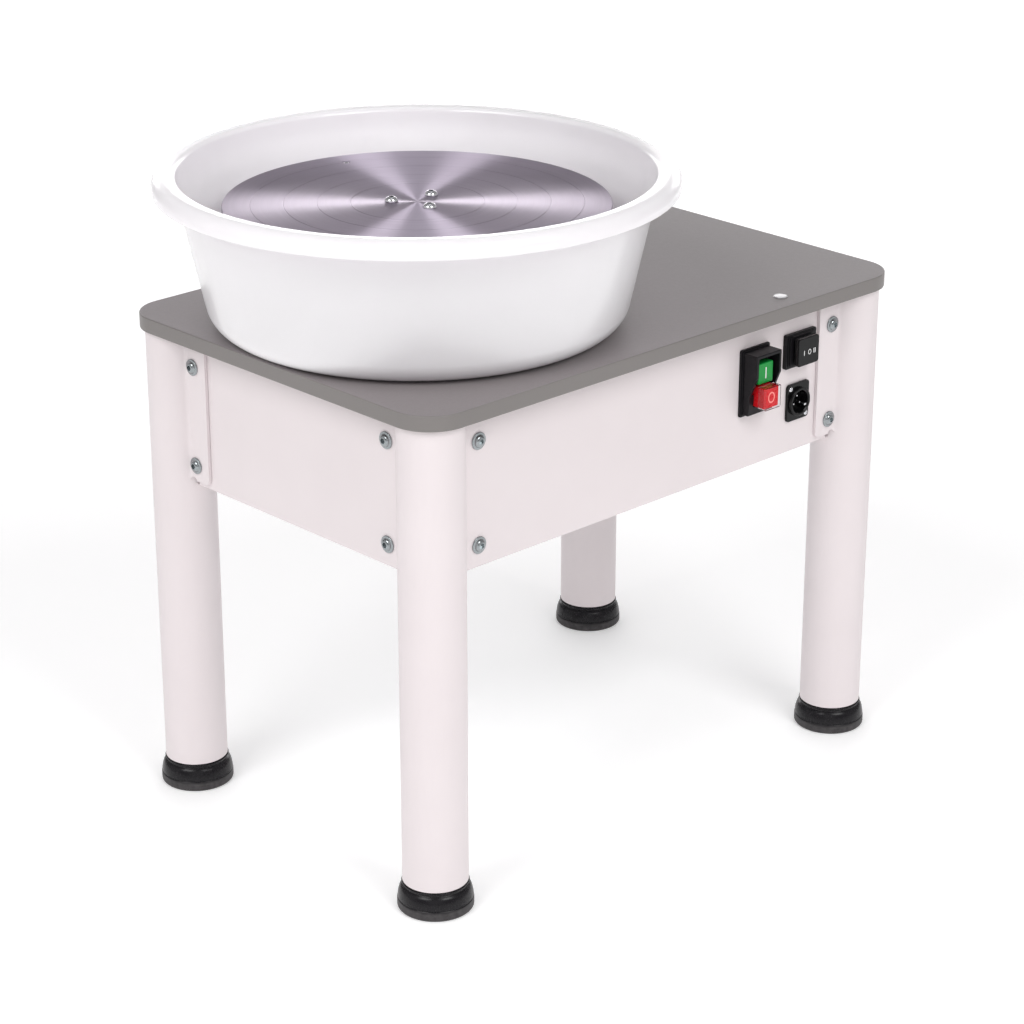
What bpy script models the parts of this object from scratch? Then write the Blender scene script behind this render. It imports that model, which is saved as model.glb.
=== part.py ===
"""Electric pottery wheel on a four-legged steel table, metres, +Z up.

The potter sits at the -X end and the switches are on the -Y side, at the potter's right hand.
The origin is on the floor, under the middle of the whole wheel's bounding box.
"""
import math

import bmesh
import bpy
from mathutils import Euler, Matrix, Vector

GAP = 0.0003                 # running gap between touching pieces

# table frame
TUBE_R = 0.025
TUBE_WALL = 0.002
LEG_SPAN_X = 0.4515
LEG_SPAN_Y = 0.2885
LEG_LOW_Z = 0.0225
TABLE_Z = 0.400
TABLE_THICK = 0.012
TABLE_OVERHANG = 0.0297
TABLE_CORNER_R = 0.032
UNDER_TABLE_Z = TABLE_Z - TABLE_THICK - GAP

# sheet-metal apron
APRON_LOW_Z = 0.265
SHEET = 0.0015
PANEL_FACE = 0.0075          # the panel's outer face, outside the line of leg axes
RETURN = 0.012               # width of the folded edges
FLANGE_THICK = 0.0025
FLANGE_REACH = 0.045         # leg axis to the free edge of the leg's flange
FLANGE_LOW_Z = 0.270
SCREW_Z = (0.3633, 0.2830)
OUTER_SCREW_REACH = 0.0300   # where the flange covers the panel
INNER_SCREW_REACH = 0.0388   # where the panel covers the flange

# splash pan and wheel
WHEEL_TO_TABLE = 0.1063      # wheel axis to the middle of the table
RIM_R = 0.1975
RIM_TOP_Z = 0.519
PAN_WALL = 0.0028
PAN_BASE_R = 0.1566          # the wall's outer radius carried down to the table
PAN_SLOPE = 0.218            # outward lean of the wall
PAN_FILLET = 0.021
COLLAR_R = 0.035
COLLAR_TOP_Z = 0.462
HEAD_R = 0.146
HEAD_THICK = 0.010
HEAD_TOP_Z = 0.492
HEAD_SCREW_R = 0.0195
HEAD_SCREW_TURN = math.radians(16)
BAT_HOLE_R = 0.125
BAT_HOLE_TURN = math.radians(74.4)
SHAFT_R = 0.010
SHAFT_SHOULDER_R = 0.013
BEARING_R = 0.0235
BEARING_THICK = 0.014

# belt drive
BIG_PULLEY_R = 0.075
SMALL_PULLEY_R = 0.015
PULLEY_LOW_Z = 0.278
PULLEY_HIGH_Z = 0.296
PULLEY_FLANGE = 0.0022
BELT_THICK = 0.0022
BELT_WIDTH = 0.0118
MOTOR_R = 0.038
MOTOR_DISTANCE = 0.162       # wheel axis to motor axis

# places
WHEEL_X = (RIM_R - WHEEL_TO_TABLE - LEG_SPAN_X / 2 - TABLE_OVERHANG) / 2
TABLE_X = WHEEL_X + WHEEL_TO_TABLE
MOTOR_X = WHEEL_X + MOTOR_DISTANCE
SWITCH_FACE_Y = -LEG_SPAN_Y / 2 - PANEL_FACE
REAR_FACE_X = TABLE_X + LEG_SPAN_X / 2 + PANEL_FACE
NVR_CENTRE = (TABLE_X + 0.1060, 0.3380)       # X and Z on the switch face
ROCKER_CENTRE = (TABLE_X + 0.1583, 0.3518)
SOCKET_CENTRE = (TABLE_X + 0.1584, 0.3075)
INLET_CENTRE = (0.060, 0.330)                 # Y and Z on the rear face
PLUG_CENTRE = (TABLE_X + 0.1325, -0.1542)
PLUG_R = 0.0055

COLOURS = {                   # linear colour, roughness, metallic
    "white_powder_coat": ((0.79, 0.71, 0.70), 0.45, 0.0),
    "grey_laminate": ((0.27, 0.25, 0.24), 0.55, 0.0),
    "white_moulding": ((0.86, 0.84, 0.88), 0.25, 0.0),
    "brushed_aluminium": ((0.62, 0.60, 0.64), 0.30, 1.0),
    "zinc_plate": ((0.60, 0.62, 0.64), 0.25, 1.0),
    "bright_steel": ((0.55, 0.55, 0.56), 0.25, 1.0),
    "cast_aluminium": ((0.50, 0.50, 0.51), 0.50, 1.0),
    "black_plastic": ((0.015, 0.014, 0.016), 0.45, 0.0),
    "black_rubber": ((0.02, 0.02, 0.02), 0.80, 0.0),
    "green_plastic": ((0.00, 0.28, 0.05), 0.30, 0.0),
    "red_plastic": ((0.55, 0.01, 0.01), 0.30, 0.0),
    "motor_enamel": ((0.05, 0.05, 0.055), 0.40, 0.0),
    "galvanised_sheet": ((0.45, 0.46, 0.47), 0.45, 1.0),
    "board_green": ((0.02, 0.12, 0.05), 0.50, 0.0),
}


def clear_scene():
    for thing in list(bpy.data.objects):
        bpy.data.objects.remove(thing, do_unlink=True)


def new_collection(name):
    group = bpy.data.collections.new(name)
    bpy.context.scene.collection.children.link(group)
    return group


clear_scene()
PARTS = new_collection("pottery_wheel")
CUTTERS = new_collection("cutters")


def finish_material(name, node_name):
    colour, roughness, metallic = COLOURS[name]
    made = bpy.data.materials.new(f"{name}_{node_name}")
    made.use_nodes = True
    shader = made.node_tree.nodes["Principled BSDF"]
    shader.inputs["Base Color"].default_value = (*colour, 1.0)
    shader.inputs["Roughness"].default_value = roughness
    shader.inputs["Metallic"].default_value = metallic
    return made


def add_object(name, work, finish):
    """Turn a bmesh into a named object; a finish of None makes it a hidden cutter."""
    mesh = bpy.data.meshes.new(name)
    work.to_mesh(mesh)
    work.free()
    made = bpy.data.objects.new(name, mesh)
    if finish is None:
        CUTTERS.objects.link(made)
        made.hide_render = True
        made.display_type = "WIRE"
        return made
    PARTS.objects.link(made)
    mesh.materials.append(finish_material(finish, name))
    return made


def smooth(thing, angle=35):
    thing.data.shade_smooth()
    thing.data.set_sharp_from_angle(angle=math.radians(angle))


def bevel(thing, width, segments=1, angle=50):
    step = thing.modifiers.new("edges", "BEVEL")
    step.width = width
    step.segments = segments
    step.limit_method = "ANGLE"
    step.angle_limit = math.radians(angle)
    return step


def combine(thing, other, operation="DIFFERENCE"):
    step = thing.modifiers.new(other.name, "BOOLEAN")
    step.operation = operation
    step.solver = "EXACT"
    step.object = other


def add_box(work, low, high):
    """Add one box to a bmesh, from its two corners."""
    middle = [(a + b) / 2 for a, b in zip(low, high)]
    size = [b - a for a, b in zip(low, high)]
    place = Matrix.Translation(middle) @ Matrix.Diagonal((*size, 1.0))
    return bmesh.ops.create_cube(work, size=1.0, matrix=place)["verts"]


def box(name, low, high, finish, edge=0.0):
    work = bmesh.new()
    add_box(work, low, high)
    made = add_object(name, work, finish)
    if edge:
        bevel(made, edge)
    return made


AXIS_TURNS = {
    "X": Euler((0, math.pi / 2, 0)),
    "Y": Euler((-math.pi / 2, 0, 0)),
    "Z": Euler((0, 0, 0)),
}


def add_rod(work, centre, radius, length, axis="Z", sides=16):
    """Add one closed cylinder to a bmesh, centred on a point."""
    turn = AXIS_TURNS[axis].to_matrix().to_4x4()
    bmesh.ops.create_cone(work, cap_ends=True, segments=sides, radius1=radius, radius2=radius,
                          depth=length, matrix=Matrix.Translation(centre) @ turn)


def drill(thing, name, holes, axis="Z", sides=12):
    """Cut a set of round holes; each is a centre, a radius and a length."""
    work = bmesh.new()
    for centre, radius, length in holes:
        add_rod(work, centre, radius, length, axis, sides)
    combine(thing, add_object(name, work, None))


def mill(thing, name, boxes):
    """Cut a set of box-shaped pockets."""
    work = bmesh.new()
    for low, high in boxes:
        add_box(work, low, high)
    combine(thing, add_object(name, work, None))


def arc(centre, radius, start, end, steps):
    """Points of an arc in the profile plane, angles in degrees."""
    points = []
    for step in range(steps + 1):
        angle = math.radians(start + (end - start) * step / steps)
        points.append((centre[0] + radius * math.cos(angle), centre[1] + radius * math.sin(angle)))
    return points


def turned(name, profile, finish, centre=(0, 0), sides=32, closed=False):
    """Spin a profile of (radius, height) about a vertical axis through centre."""
    work = bmesh.new()
    points = [work.verts.new((radius, 0, height)) for radius, height in profile]
    for first, second in zip(points, points[1:]):
        work.edges.new((first, second))
    if closed:
        work.edges.new((points[-1], points[0]))
    made = add_object(name, work, finish)
    made.location = (*centre, 0)
    spin = made.modifiers.new("spin", "SCREW")
    spin.steps = sides
    spin.render_steps = sides
    spin.use_merge_vertices = True
    spin.merge_threshold = 0.00001
    smooth(made)
    return made


def slab(name, low, high, corner, finish, edge=0.0, steps=6):
    """A flat board with rounded corners, seen from above."""
    work = bmesh.new()
    add_box(work, low, high)
    upright = [e for e in work.edges if abs(e.verts[0].co.z - e.verts[1].co.z) > 1e-6]
    bmesh.ops.bevel(work, geom=upright, offset=corner, segments=steps, profile=0.5,
                    affect="EDGES")
    made = add_object(name, work, finish)
    if edge:
        bevel(made, edge)
    return made


def extruded(name, outline, thickness, finish, matrix):
    """A flat outline given thickness: a 2D curve, made a mesh so that it can be cut."""
    curve = bpy.data.curves.new(name + "_outline", "CURVE")
    curve.dimensions = "2D"
    curve.fill_mode = "BOTH"
    curve.extrude = thickness / 2
    line = curve.splines.new("POLY")
    line.points.add(len(outline) - 1)
    for point, (x, y) in zip(line.points, outline):
        point.co = (x, y, 0, 1)
    line.use_cyclic_u = True
    guide = bpy.data.objects.new(name + "_outline", curve)
    CUTTERS.objects.link(guide)
    bpy.context.view_layer.update()
    mesh = bpy.data.meshes.new_from_object(guide.evaluated_get(bpy.context.evaluated_depsgraph_get()))
    work = bmesh.new()
    work.from_mesh(mesh)
    bmesh.ops.remove_doubles(work, verts=work.verts, dist=0.00001)
    bmesh.ops.recalc_face_normals(work, faces=work.faces)
    bmesh.ops.transform(work, matrix=matrix, verts=work.verts)
    bpy.data.objects.remove(guide, do_unlink=True)
    return add_object(name, work, finish)


# ---------------------------------------------------------------- table frame
CORNERS = {                   # leg name: (X side, Y side, quarter turns, flange outside the panel)
    "front_right": (-1, -1, 0, False),
    "rear_right": (1, -1, 1, True),
    "rear_left": (1, 1, 2, False),
    "front_left": (-1, 1, 3, True),
}


def corner_place(side_x, side_y):
    return Vector((TABLE_X + side_x * LEG_SPAN_X / 2, side_y * LEG_SPAN_Y / 2, 0))


def flange_faces(outside):
    """Inner and outer face of a leg's flange, measured outwards from the line of leg axes."""
    if outside:
        return PANEL_FACE + GAP, PANEL_FACE + GAP + FLANGE_THICK
    outer = PANEL_FACE - SHEET - GAP
    return outer - FLANGE_THICK, outer


def screw_reach(outside):
    return OUTER_SCREW_REACH if outside else INNER_SCREW_REACH


def flange_plates(name, outside):
    """The two welded flanges of one leg, in the leg's own frame."""
    near, far = flange_faces(outside)
    start = 0.0223 if outside else 0.0233
    top = UNDER_TABLE_Z if outside else UNDER_TABLE_Z - 2 * SHEET
    for side, low, high in (
        ("x", (start, -far, FLANGE_LOW_Z), (FLANGE_REACH, -near, top)),
        ("y", (-far, start, FLANGE_LOW_Z), (-near, FLANGE_REACH, top)),
    ):
        plate = box(f"{name}_flange_{side}", low, high, None)
        yield plate


def leg(name, side_x, side_y, quarter, outside):
    """A round tube with a threaded disc near its foot and two flanges for the apron."""
    inner = TUBE_R - TUBE_WALL
    disc_low, disc_high, thread = 0.030, 0.036, 0.0053
    profile = [
        (inner, UNDER_TABLE_Z), (TUBE_R, UNDER_TABLE_Z), (TUBE_R, LEG_LOW_Z), (inner, LEG_LOW_Z),
        (inner, disc_low), (thread, disc_low), (thread, disc_high), (inner, disc_high),
    ]
    made = turned(name + "_leg", profile, "white_powder_coat", sides=24, closed=True)
    for plate in flange_plates(name, outside):
        combine(made, plate, "UNION")
        plate.parent = made
    reach = screw_reach(outside)
    face = sum(flange_faces(outside)) / 2
    for axis, spots in (("Y", [(reach, -face, z) for z in SCREW_Z]),
                        ("X", [(-face, reach, z) for z in SCREW_Z])):
        drill(made, f"{name}_leg_holes_{axis}", [(spot, 0.0034, 0.012) for spot in spots], axis)
        CUTTERS.objects[f"{name}_leg_holes_{axis}"].parent = made
    made.location = corner_place(side_x, side_y)
    made.rotation_euler.z = quarter * math.pi / 2


FOOT_PROFILE = [
    (0.0050, 0.0450), (0.0050, 0.0222), (0.0262, 0.0222), (0.0262, 0.0188), (0.0284, 0.0095),
    (0.0290, 0.0070), (0.0290, 0.0035), (0.0270, 0.0),
]


def foot(name, side_x, side_y):
    """A moulded levelling foot on a threaded stem."""
    profile = [(0, 0.0450)] + FOOT_PROFILE + [(0, 0)]
    place = corner_place(side_x, side_y)
    turned(name + "_foot", profile, "black_plastic", (place.x, place.y), sides=20)


FLANGED_SCREW = [             # an M6 button head with a flange; its top is at height 0.0033
    (0, 0.0018), (0.0022, 0.0018), (0.0022, 0.0033), (0.0045, 0.0022), (0.0051, 0.0010),
    (0.0066, 0.0010), (0.0066, 0), (0.0030, 0),
]
PLAIN_SCREW = [               # an M6 button head without a flange
    (0, 0.0016), (0.0022, 0.0016), (0.0022, 0.0032), (0.0040, 0.0026), (0.0051, 0.0008),
    (0.0051, 0), (0.0030, 0),
]


def button_screw(name, place, turn, head=FLANGED_SCREW, length=0.0105, finish="zinc_plate"):
    """A button-head screw whose head sits on place and faces along turned +Z."""
    profile = head + [(0.0030, -length), (0, -length)]
    made = turned(name, profile, finish, sides=8)
    made.location = place
    made.rotation_euler = turn
    return made


FACE_TURNS = {                # outward normal of each apron face
    "right": Euler((math.pi / 2, 0, 0)),
    "left": Euler((-math.pi / 2, 0, 0)),
    "front": Euler((0, -math.pi / 2, 0)),
    "rear": Euler((0, math.pi / 2, 0)),
}


def apron_screws():
    """Two screws in each end of each apron panel: sixteen in all."""
    for corner, (side_x, side_y, _, outside) in CORNERS.items():
        face = (flange_faces(True)[1] if outside else PANEL_FACE) + GAP
        reach = screw_reach(outside)
        centre = corner_place(side_x, side_y)
        for level, z in zip(("upper", "lower"), SCREW_Z):
            side_panel = "right" if side_y < 0 else "left"
            end_panel = "front" if side_x < 0 else "rear"
            on_side = Vector((centre.x - side_x * reach, centre.y + side_y * face, z))
            on_end = Vector((centre.x + side_x * face, centre.y - side_y * reach, z))
            button_screw(f"{corner}_{level}_screw_{side_panel}", on_side, FACE_TURNS[side_panel])
            button_screw(f"{corner}_{level}_screw_{end_panel}", on_end, FACE_TURNS[end_panel])


def folded_panel(name, length):
    """A channel of sheet along X: a web at the outer face with both edges folded inwards."""
    outer = -PANEL_FACE
    inner = outer + RETURN
    low = APRON_LOW_Z
    high = UNDER_TABLE_Z
    work = bmesh.new()
    outline = [(inner, high), (outer, high), (outer, low), (inner, low)]
    points = [work.verts.new((-length / 2, y, z)) for y, z in outline]
    for first, second in zip(points, points[1:]):
        work.edges.new((first, second))
    strip = bmesh.ops.extrude_edge_only(work, edges=work.edges[:])["geom"]
    far = [part for part in strip if isinstance(part, bmesh.types.BMVert)]
    bmesh.ops.translate(work, verts=far, vec=(length, 0, 0))
    made = add_object(name, work, "white_powder_coat")
    folds = bevel(made, 0.0018, 2, 30)
    folds.affect = "EDGES"
    wall = made.modifiers.new("sheet", "SOLIDIFY")
    wall.thickness = SHEET
    wall.offset = 1
    wall.use_even_offset = True
    return made


def apron(name, span, across, turn, outside_at_start):
    """One apron panel, coped round the leg tubes and drilled for its four screws."""
    made = folded_panel(name + "_apron", span - 2 * (TUBE_R - 0.0009))
    work = bmesh.new()
    for end in (-1, 1):
        add_rod(work, (end * span / 2, 0, 0.33), TUBE_R + 0.0006, 0.16, "Z", 24)
    cope = add_object(name + "_cope", work, None)
    combine(made, cope)
    cope.parent = made
    spots = []
    for end, outside in ((-1, outside_at_start), (1, not outside_at_start)):
        reach = span / 2 - screw_reach(outside)
        spots += [((end * reach, -PANEL_FACE, z), 0.0034, 0.010) for z in SCREW_Z]
    drill(made, name + "_holes", spots, "Y")
    CUTTERS.objects[name + "_holes"].parent = made
    made.location = (TABLE_X, 0, 0)
    made.rotation_euler.z = turn
    made.location += Matrix.Rotation(turn, 3, "Z") @ Vector((0, -across / 2, 0))
    return made


def right_apron_cutouts(panel):
    """The holes for the motor switch, the direction switch and the pedal socket."""
    work = bmesh.new()
    y_low, y_high = SWITCH_FACE_Y - 0.004, SWITCH_FACE_Y + 0.006
    for (x, z), width, height in ((NVR_CENTRE, 0.0286, 0.0466), (ROCKER_CENTRE, 0.0306, 0.0226)):
        add_box(work, (x - width / 2, y_low, z - height / 2), (x + width / 2, y_high, z + height / 2))
    x, z = SOCKET_CENTRE
    add_rod(work, (x, SWITCH_FACE_Y, z), 0.0122, 0.010, "Y", 24)
    combine(panel, add_object("right_apron_cutouts", work, None))


def rear_apron_cutout(panel):
    y, z = INLET_CENTRE
    mill(panel, "rear_apron_cutout", [((REAR_FACE_X - 0.006, y - 0.0140, z - 0.0105),
                                       (REAR_FACE_X + 0.004, y + 0.0140, z + 0.0105))])


def build_frame():
    for corner, (side_x, side_y, quarter, outside) in CORNERS.items():
        leg(corner, side_x, side_y, quarter, outside)
        foot(corner, side_x, side_y)
    apron_screws()
    right = apron("right", LEG_SPAN_X, LEG_SPAN_Y, 0, False)
    right_apron_cutouts(right)
    apron("left", LEG_SPAN_X, LEG_SPAN_Y, math.pi, False)
    apron("front", LEG_SPAN_Y, LEG_SPAN_X, -math.pi / 2, True)
    rear = apron("rear", LEG_SPAN_Y, LEG_SPAN_X, math.pi / 2, True)
    rear_apron_cutout(rear)


def table_top():
    half_x = LEG_SPAN_X / 2 + TABLE_OVERHANG
    half_y = LEG_SPAN_Y / 2 + TABLE_OVERHANG
    made = slab("table_top", (TABLE_X - half_x, -half_y, TABLE_Z - TABLE_THICK),
                (TABLE_X + half_x, half_y, TABLE_Z), TABLE_CORNER_R, "grey_laminate", 0.0006, 8)
    middle = TABLE_Z - TABLE_THICK / 2
    drill(made, "table_holes", [((WHEEL_X, 0, middle), 0.0300, 0.02)], sides=32)
    drill(made, "plug_hole", [((*PLUG_CENTRE, middle), PLUG_R - 0.0008, 0.02)], sides=16)


def table_plug():
    """The white cap pressed into the small hole in the table top."""
    neck = PLUG_R - 0.0008 - GAP
    top = TABLE_Z + 0.0009
    seat = TABLE_Z + GAP
    profile = [(0, top), (PLUG_R - 0.0006, top), (PLUG_R, seat), (neck, seat),
               (neck, TABLE_Z - 0.010), (0, TABLE_Z - 0.010)]
    turned("table_plug", profile, "white_moulding", PLUG_CENTRE, sides=16)


def bottom_plate():
    """A sheet that closes the apron from below, notched round the legs, with air slots."""
    half_x = LEG_SPAN_X / 2 + PANEL_FACE - SHEET - 0.0010
    half_y = LEG_SPAN_Y / 2 + PANEL_FACE - SHEET - 0.0010
    notch = TUBE_R + 0.0010
    low = APRON_LOW_Z + SHEET + GAP
    high = low + 0.0012
    made = box("bottom_plate", (TABLE_X - half_x, -half_y, low), (TABLE_X + half_x, half_y, high),
               "galvanised_sheet")
    corners = []
    for side_x, side_y, _, _ in CORNERS.values():
        place = corner_place(side_x, side_y)
        reach = Vector((side_x * 0.02, side_y * 0.02))
        ends_x = sorted((place.x - side_x * notch, place.x + reach.x))
        ends_y = sorted((place.y - side_y * notch, place.y + reach.y))
        corners.append(((ends_x[0], ends_y[0], low - 0.004), (ends_x[1], ends_y[1], high + 0.004)))
    mill(made, "plate_notches", corners)
    slots = []
    for row in range(5):
        y = (row - 2) * 0.014
        slots.append(((MOTOR_X - 0.030, y - 0.002, low - 0.004), (MOTOR_X + 0.030, y + 0.002, high + 0.004)))
    mill(made, "plate_slots", slots)


# ---------------------------------------------------------------- splash pan, wheel head, spindle
def pan_profile():
    """The pan's wet side, from the collar's top, over the floor and wall, to the rolled lip."""
    floor = TABLE_Z + GAP + PAN_WALL
    lean = math.degrees(math.atan(PAN_SLOPE))
    inner_fillet = PAN_FILLET - PAN_WALL
    wall = PAN_BASE_R - PAN_WALL / math.cos(math.radians(lean))
    centre_z = floor + inner_fillet
    centre_r = wall + PAN_SLOPE * (centre_z - TABLE_Z) - inner_fillet / math.cos(math.radians(lean))
    roll = 0.0085
    roll_z = RIM_TOP_Z - roll
    crest_r = RIM_R - roll
    points = [(COLLAR_R, COLLAR_TOP_Z)]
    points += arc((COLLAR_R + 0.006, floor + 0.006), 0.006, 180, 270, 2)
    points += arc((centre_r, centre_z), inner_fillet, -90, -lean, 4)
    points.append((wall + PAN_SLOPE * (roll_z - 0.004 - TABLE_Z), roll_z - 0.004))
    points += arc((crest_r - 0.004, roll_z), roll, 115, 90, 1)
    points += arc((crest_r, roll_z), roll, 90, -5, 4)
    points.append((RIM_R - 0.0010, roll_z - 0.0050))
    return points


def splash_pan():
    made = turned("splash_pan", pan_profile(), "white_moulding", (WHEEL_X, 0), sides=40)
    wall = made.modifiers.new("wall", "SOLIDIFY")
    wall.thickness = PAN_WALL
    wall.offset = -1
    wall.use_even_offset = True


def around(radius, turn, count, height=0.0):
    """Points spread evenly on a circle about the wheel axis."""
    points = []
    for step in range(count):
        angle = turn + 2 * math.pi * step / count
        points.append(Vector((WHEEL_X + radius * math.cos(angle), radius * math.sin(angle), height)))
    return points


def wheel_head():
    low = HEAD_TOP_Z - HEAD_THICK
    edge = 0.0012
    profile = [(0, HEAD_TOP_Z), (HEAD_R - edge, HEAD_TOP_Z), (HEAD_R, HEAD_TOP_Z - edge),
               (HEAD_R, low + edge), (HEAD_R - edge, low), (0, low)]
    made = turned("wheel_head", profile, "brushed_aluminium", (WHEEL_X, 0), sides=48)
    middle = HEAD_TOP_Z - HEAD_THICK / 2
    screws = [(spot, 0.0034, 0.02) for spot in around(HEAD_SCREW_R, HEAD_SCREW_TURN, 3, middle)]
    pins = [(spot, 0.0031, 0.02) for spot in around(BAT_HOLE_R, BAT_HOLE_TURN, 2, middle)]
    work = bmesh.new()
    for spot, radius, length in screws + pins:
        add_rod(work, spot - Vector((WHEEL_X, 0, 0)), radius, length, "Z", 12)
    holes = add_object("wheel_head_holes", work, None)
    holes.parent = made
    combine(made, holes)


def head_fixings():
    """Three screws that hold the head on its hub, and two plugs in the bat-pin holes."""
    for number, spot in enumerate(around(HEAD_SCREW_R, HEAD_SCREW_TURN, 3, HEAD_TOP_Z + GAP), 1):
        button_screw(f"head_screw_{number}", spot, Euler((0, 0, 0)), PLAIN_SCREW, 0.0190,
                     "bright_steel")
    for number, spot in enumerate(around(BAT_HOLE_R, BAT_HOLE_TURN, 2), 1):
        top = HEAD_TOP_Z - 0.0002
        profile = [(0, top - 0.002), (0.0014, top - 0.002), (0.0014, top), (0.0024, top),
                   (0.0028, top - 0.0004), (0.0028, top - 0.008), (0, top - 0.008)]
        turned(f"bat_pin_plug_{number}", profile, "bright_steel", (spot.x, spot.y), sides=12)


def hub():
    """The turned hub that carries the head on the spindle."""
    top = HEAD_TOP_Z - HEAD_THICK - GAP
    bore = SHAFT_R + GAP
    profile = [(0, top), (0.038, top), (0.040, top - 0.002), (0.040, top - 0.010),
               (0.022, top - 0.010), (0.022, 0.4260), (bore, 0.4260), (bore, top - 0.008),
               (0, top - 0.008)]
    made = turned("hub", profile, "cast_aluminium", (WHEEL_X, 0), sides=24)
    work = bmesh.new()
    for spot in around(HEAD_SCREW_R, HEAD_SCREW_TURN, 3, top - 0.005):
        add_rod(work, spot - Vector((WHEEL_X, 0, 0)), 0.0034, 0.020, "Z", 12)
    holes = add_object("hub_holes", work, None)
    holes.parent = made
    combine(made, holes)


BEARING_LEVELS = {"upper_bearing": 0.4045, "lower_bearing": 0.3105}   # underside of each


def spindle():
    top = HEAD_TOP_Z - HEAD_THICK - GAP - 0.008 - GAP
    shoulder_high = BEARING_LEVELS["upper_bearing"] - GAP
    shoulder_low = BEARING_LEVELS["lower_bearing"] + BEARING_THICK + GAP
    profile = [(0, top), (SHAFT_R - 0.001, top), (SHAFT_R, top - 0.001), (SHAFT_R, shoulder_high),
               (SHAFT_SHOULDER_R, shoulder_high), (SHAFT_SHOULDER_R, shoulder_low),
               (SHAFT_R, shoulder_low), (SHAFT_R, PULLEY_LOW_Z - 0.003),
               (0, PULLEY_LOW_Z - 0.003)]
    turned("spindle", profile, "bright_steel", (WHEEL_X, 0), sides=24)


def bearing(name, low):
    """A shielded ball bearing, drawn as one ring with the groove of its shields."""
    bore = SHAFT_R + GAP
    high = low + BEARING_THICK
    profile = [(bore, high), (0.0140, high), (0.0145, high - 0.0006), (0.0195, high - 0.0006),
               (0.0200, high), (BEARING_R, high), (BEARING_R, low), (bore, low)]
    turned(name, profile, "bright_steel", (WHEEL_X, 0), sides=20, closed=True)


def bearing_housing():
    """A flanged housing bolted under the table, with a spigot up through the table's hole."""
    seat = BEARING_R + GAP
    waist = 0.0170
    upper = BEARING_LEVELS["upper_bearing"] - GAP
    lower = BEARING_LEVELS["lower_bearing"] + BEARING_THICK + GAP
    top = upper + GAP + BEARING_THICK + 0.002
    bottom = BEARING_LEVELS["lower_bearing"] - 0.002
    profile = [(seat, top), (0.0290, top), (0.0290, UNDER_TABLE_Z), (0.0600, UNDER_TABLE_Z),
               (0.0600, UNDER_TABLE_Z - 0.008), (0.0320, UNDER_TABLE_Z - 0.010),
               (0.0295, bottom), (seat, bottom), (seat, lower), (waist, lower), (waist, upper),
               (seat, upper)]
    turned("bearing_housing", profile, "cast_aluminium", (WHEEL_X, 0), sides=24, closed=True)


# ---------------------------------------------------------------- belt drive
def pulley(name, radius, bore, centre_x, hub_high, sides):
    """A flat-belt pulley with two side flanges."""
    rim = radius + 0.0020
    low, high = PULLEY_LOW_Z, PULLEY_HIGH_Z
    profile = [(bore, hub_high), (bore + 0.005, hub_high), (bore + 0.005, high), (rim, high),
               (rim, high - PULLEY_FLANGE), (radius, high - PULLEY_FLANGE - 0.0004),
               (radius, low + PULLEY_FLANGE + 0.0004), (rim, low + PULLEY_FLANGE), (rim, low),
               (bore, low)]
    return turned(name, profile, "cast_aluminium", (centre_x, 0), sides=sides, closed=True)


def belt_outline(extra):
    """The loop round both pulleys, at a distance extra outside their running faces."""
    big, small = BIG_PULLEY_R + extra, SMALL_PULLEY_R + extra
    tilt = math.degrees(math.acos((big - small) / MOTOR_DISTANCE))
    around_big = arc((WHEEL_X, 0), big, tilt, 360 - tilt, 20)
    around_small = arc((MOTOR_X, 0), small, -tilt, tilt, 8)
    return around_big + around_small


def drive_belt():
    middle = (PULLEY_LOW_Z + PULLEY_HIGH_Z) / 2
    lift = Matrix.Translation((0, 0, middle))
    made = extruded("drive_belt", belt_outline(0.0006 + BELT_THICK), BELT_WIDTH, "black_rubber", lift)
    inside = extruded("belt_inside", belt_outline(0.0006), BELT_WIDTH * 2, None, lift)
    combine(made, inside)


def motor():
    low, high = 0.3090, 0.3800
    profile = [(0, high), (0.0300, high), (0.0330, high - 0.003), (MOTOR_R, high - 0.006),
               (MOTOR_R, low + 0.003), (MOTOR_R - 0.003, low), (0.0120, low),
               (0.0120, low - 0.003), (0.0055, low - 0.003), (0.0055, low + 0.020),
               (0, low + 0.020)]
    turned("motor", profile, "motor_enamel", (MOTOR_X, 0), sides=24)
    shaft = [(0, low + 0.0190), (0.0050, low + 0.0190), (0.0050, PULLEY_LOW_Z - 0.002),
             (0, PULLEY_LOW_Z - 0.002)]
    turned("motor_shaft", shaft, "bright_steel", (MOTOR_X, 0), sides=16)
    pulley("motor_pulley", SMALL_PULLEY_R, 0.0053, MOTOR_X, PULLEY_HIGH_Z + 0.002, 20)


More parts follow.
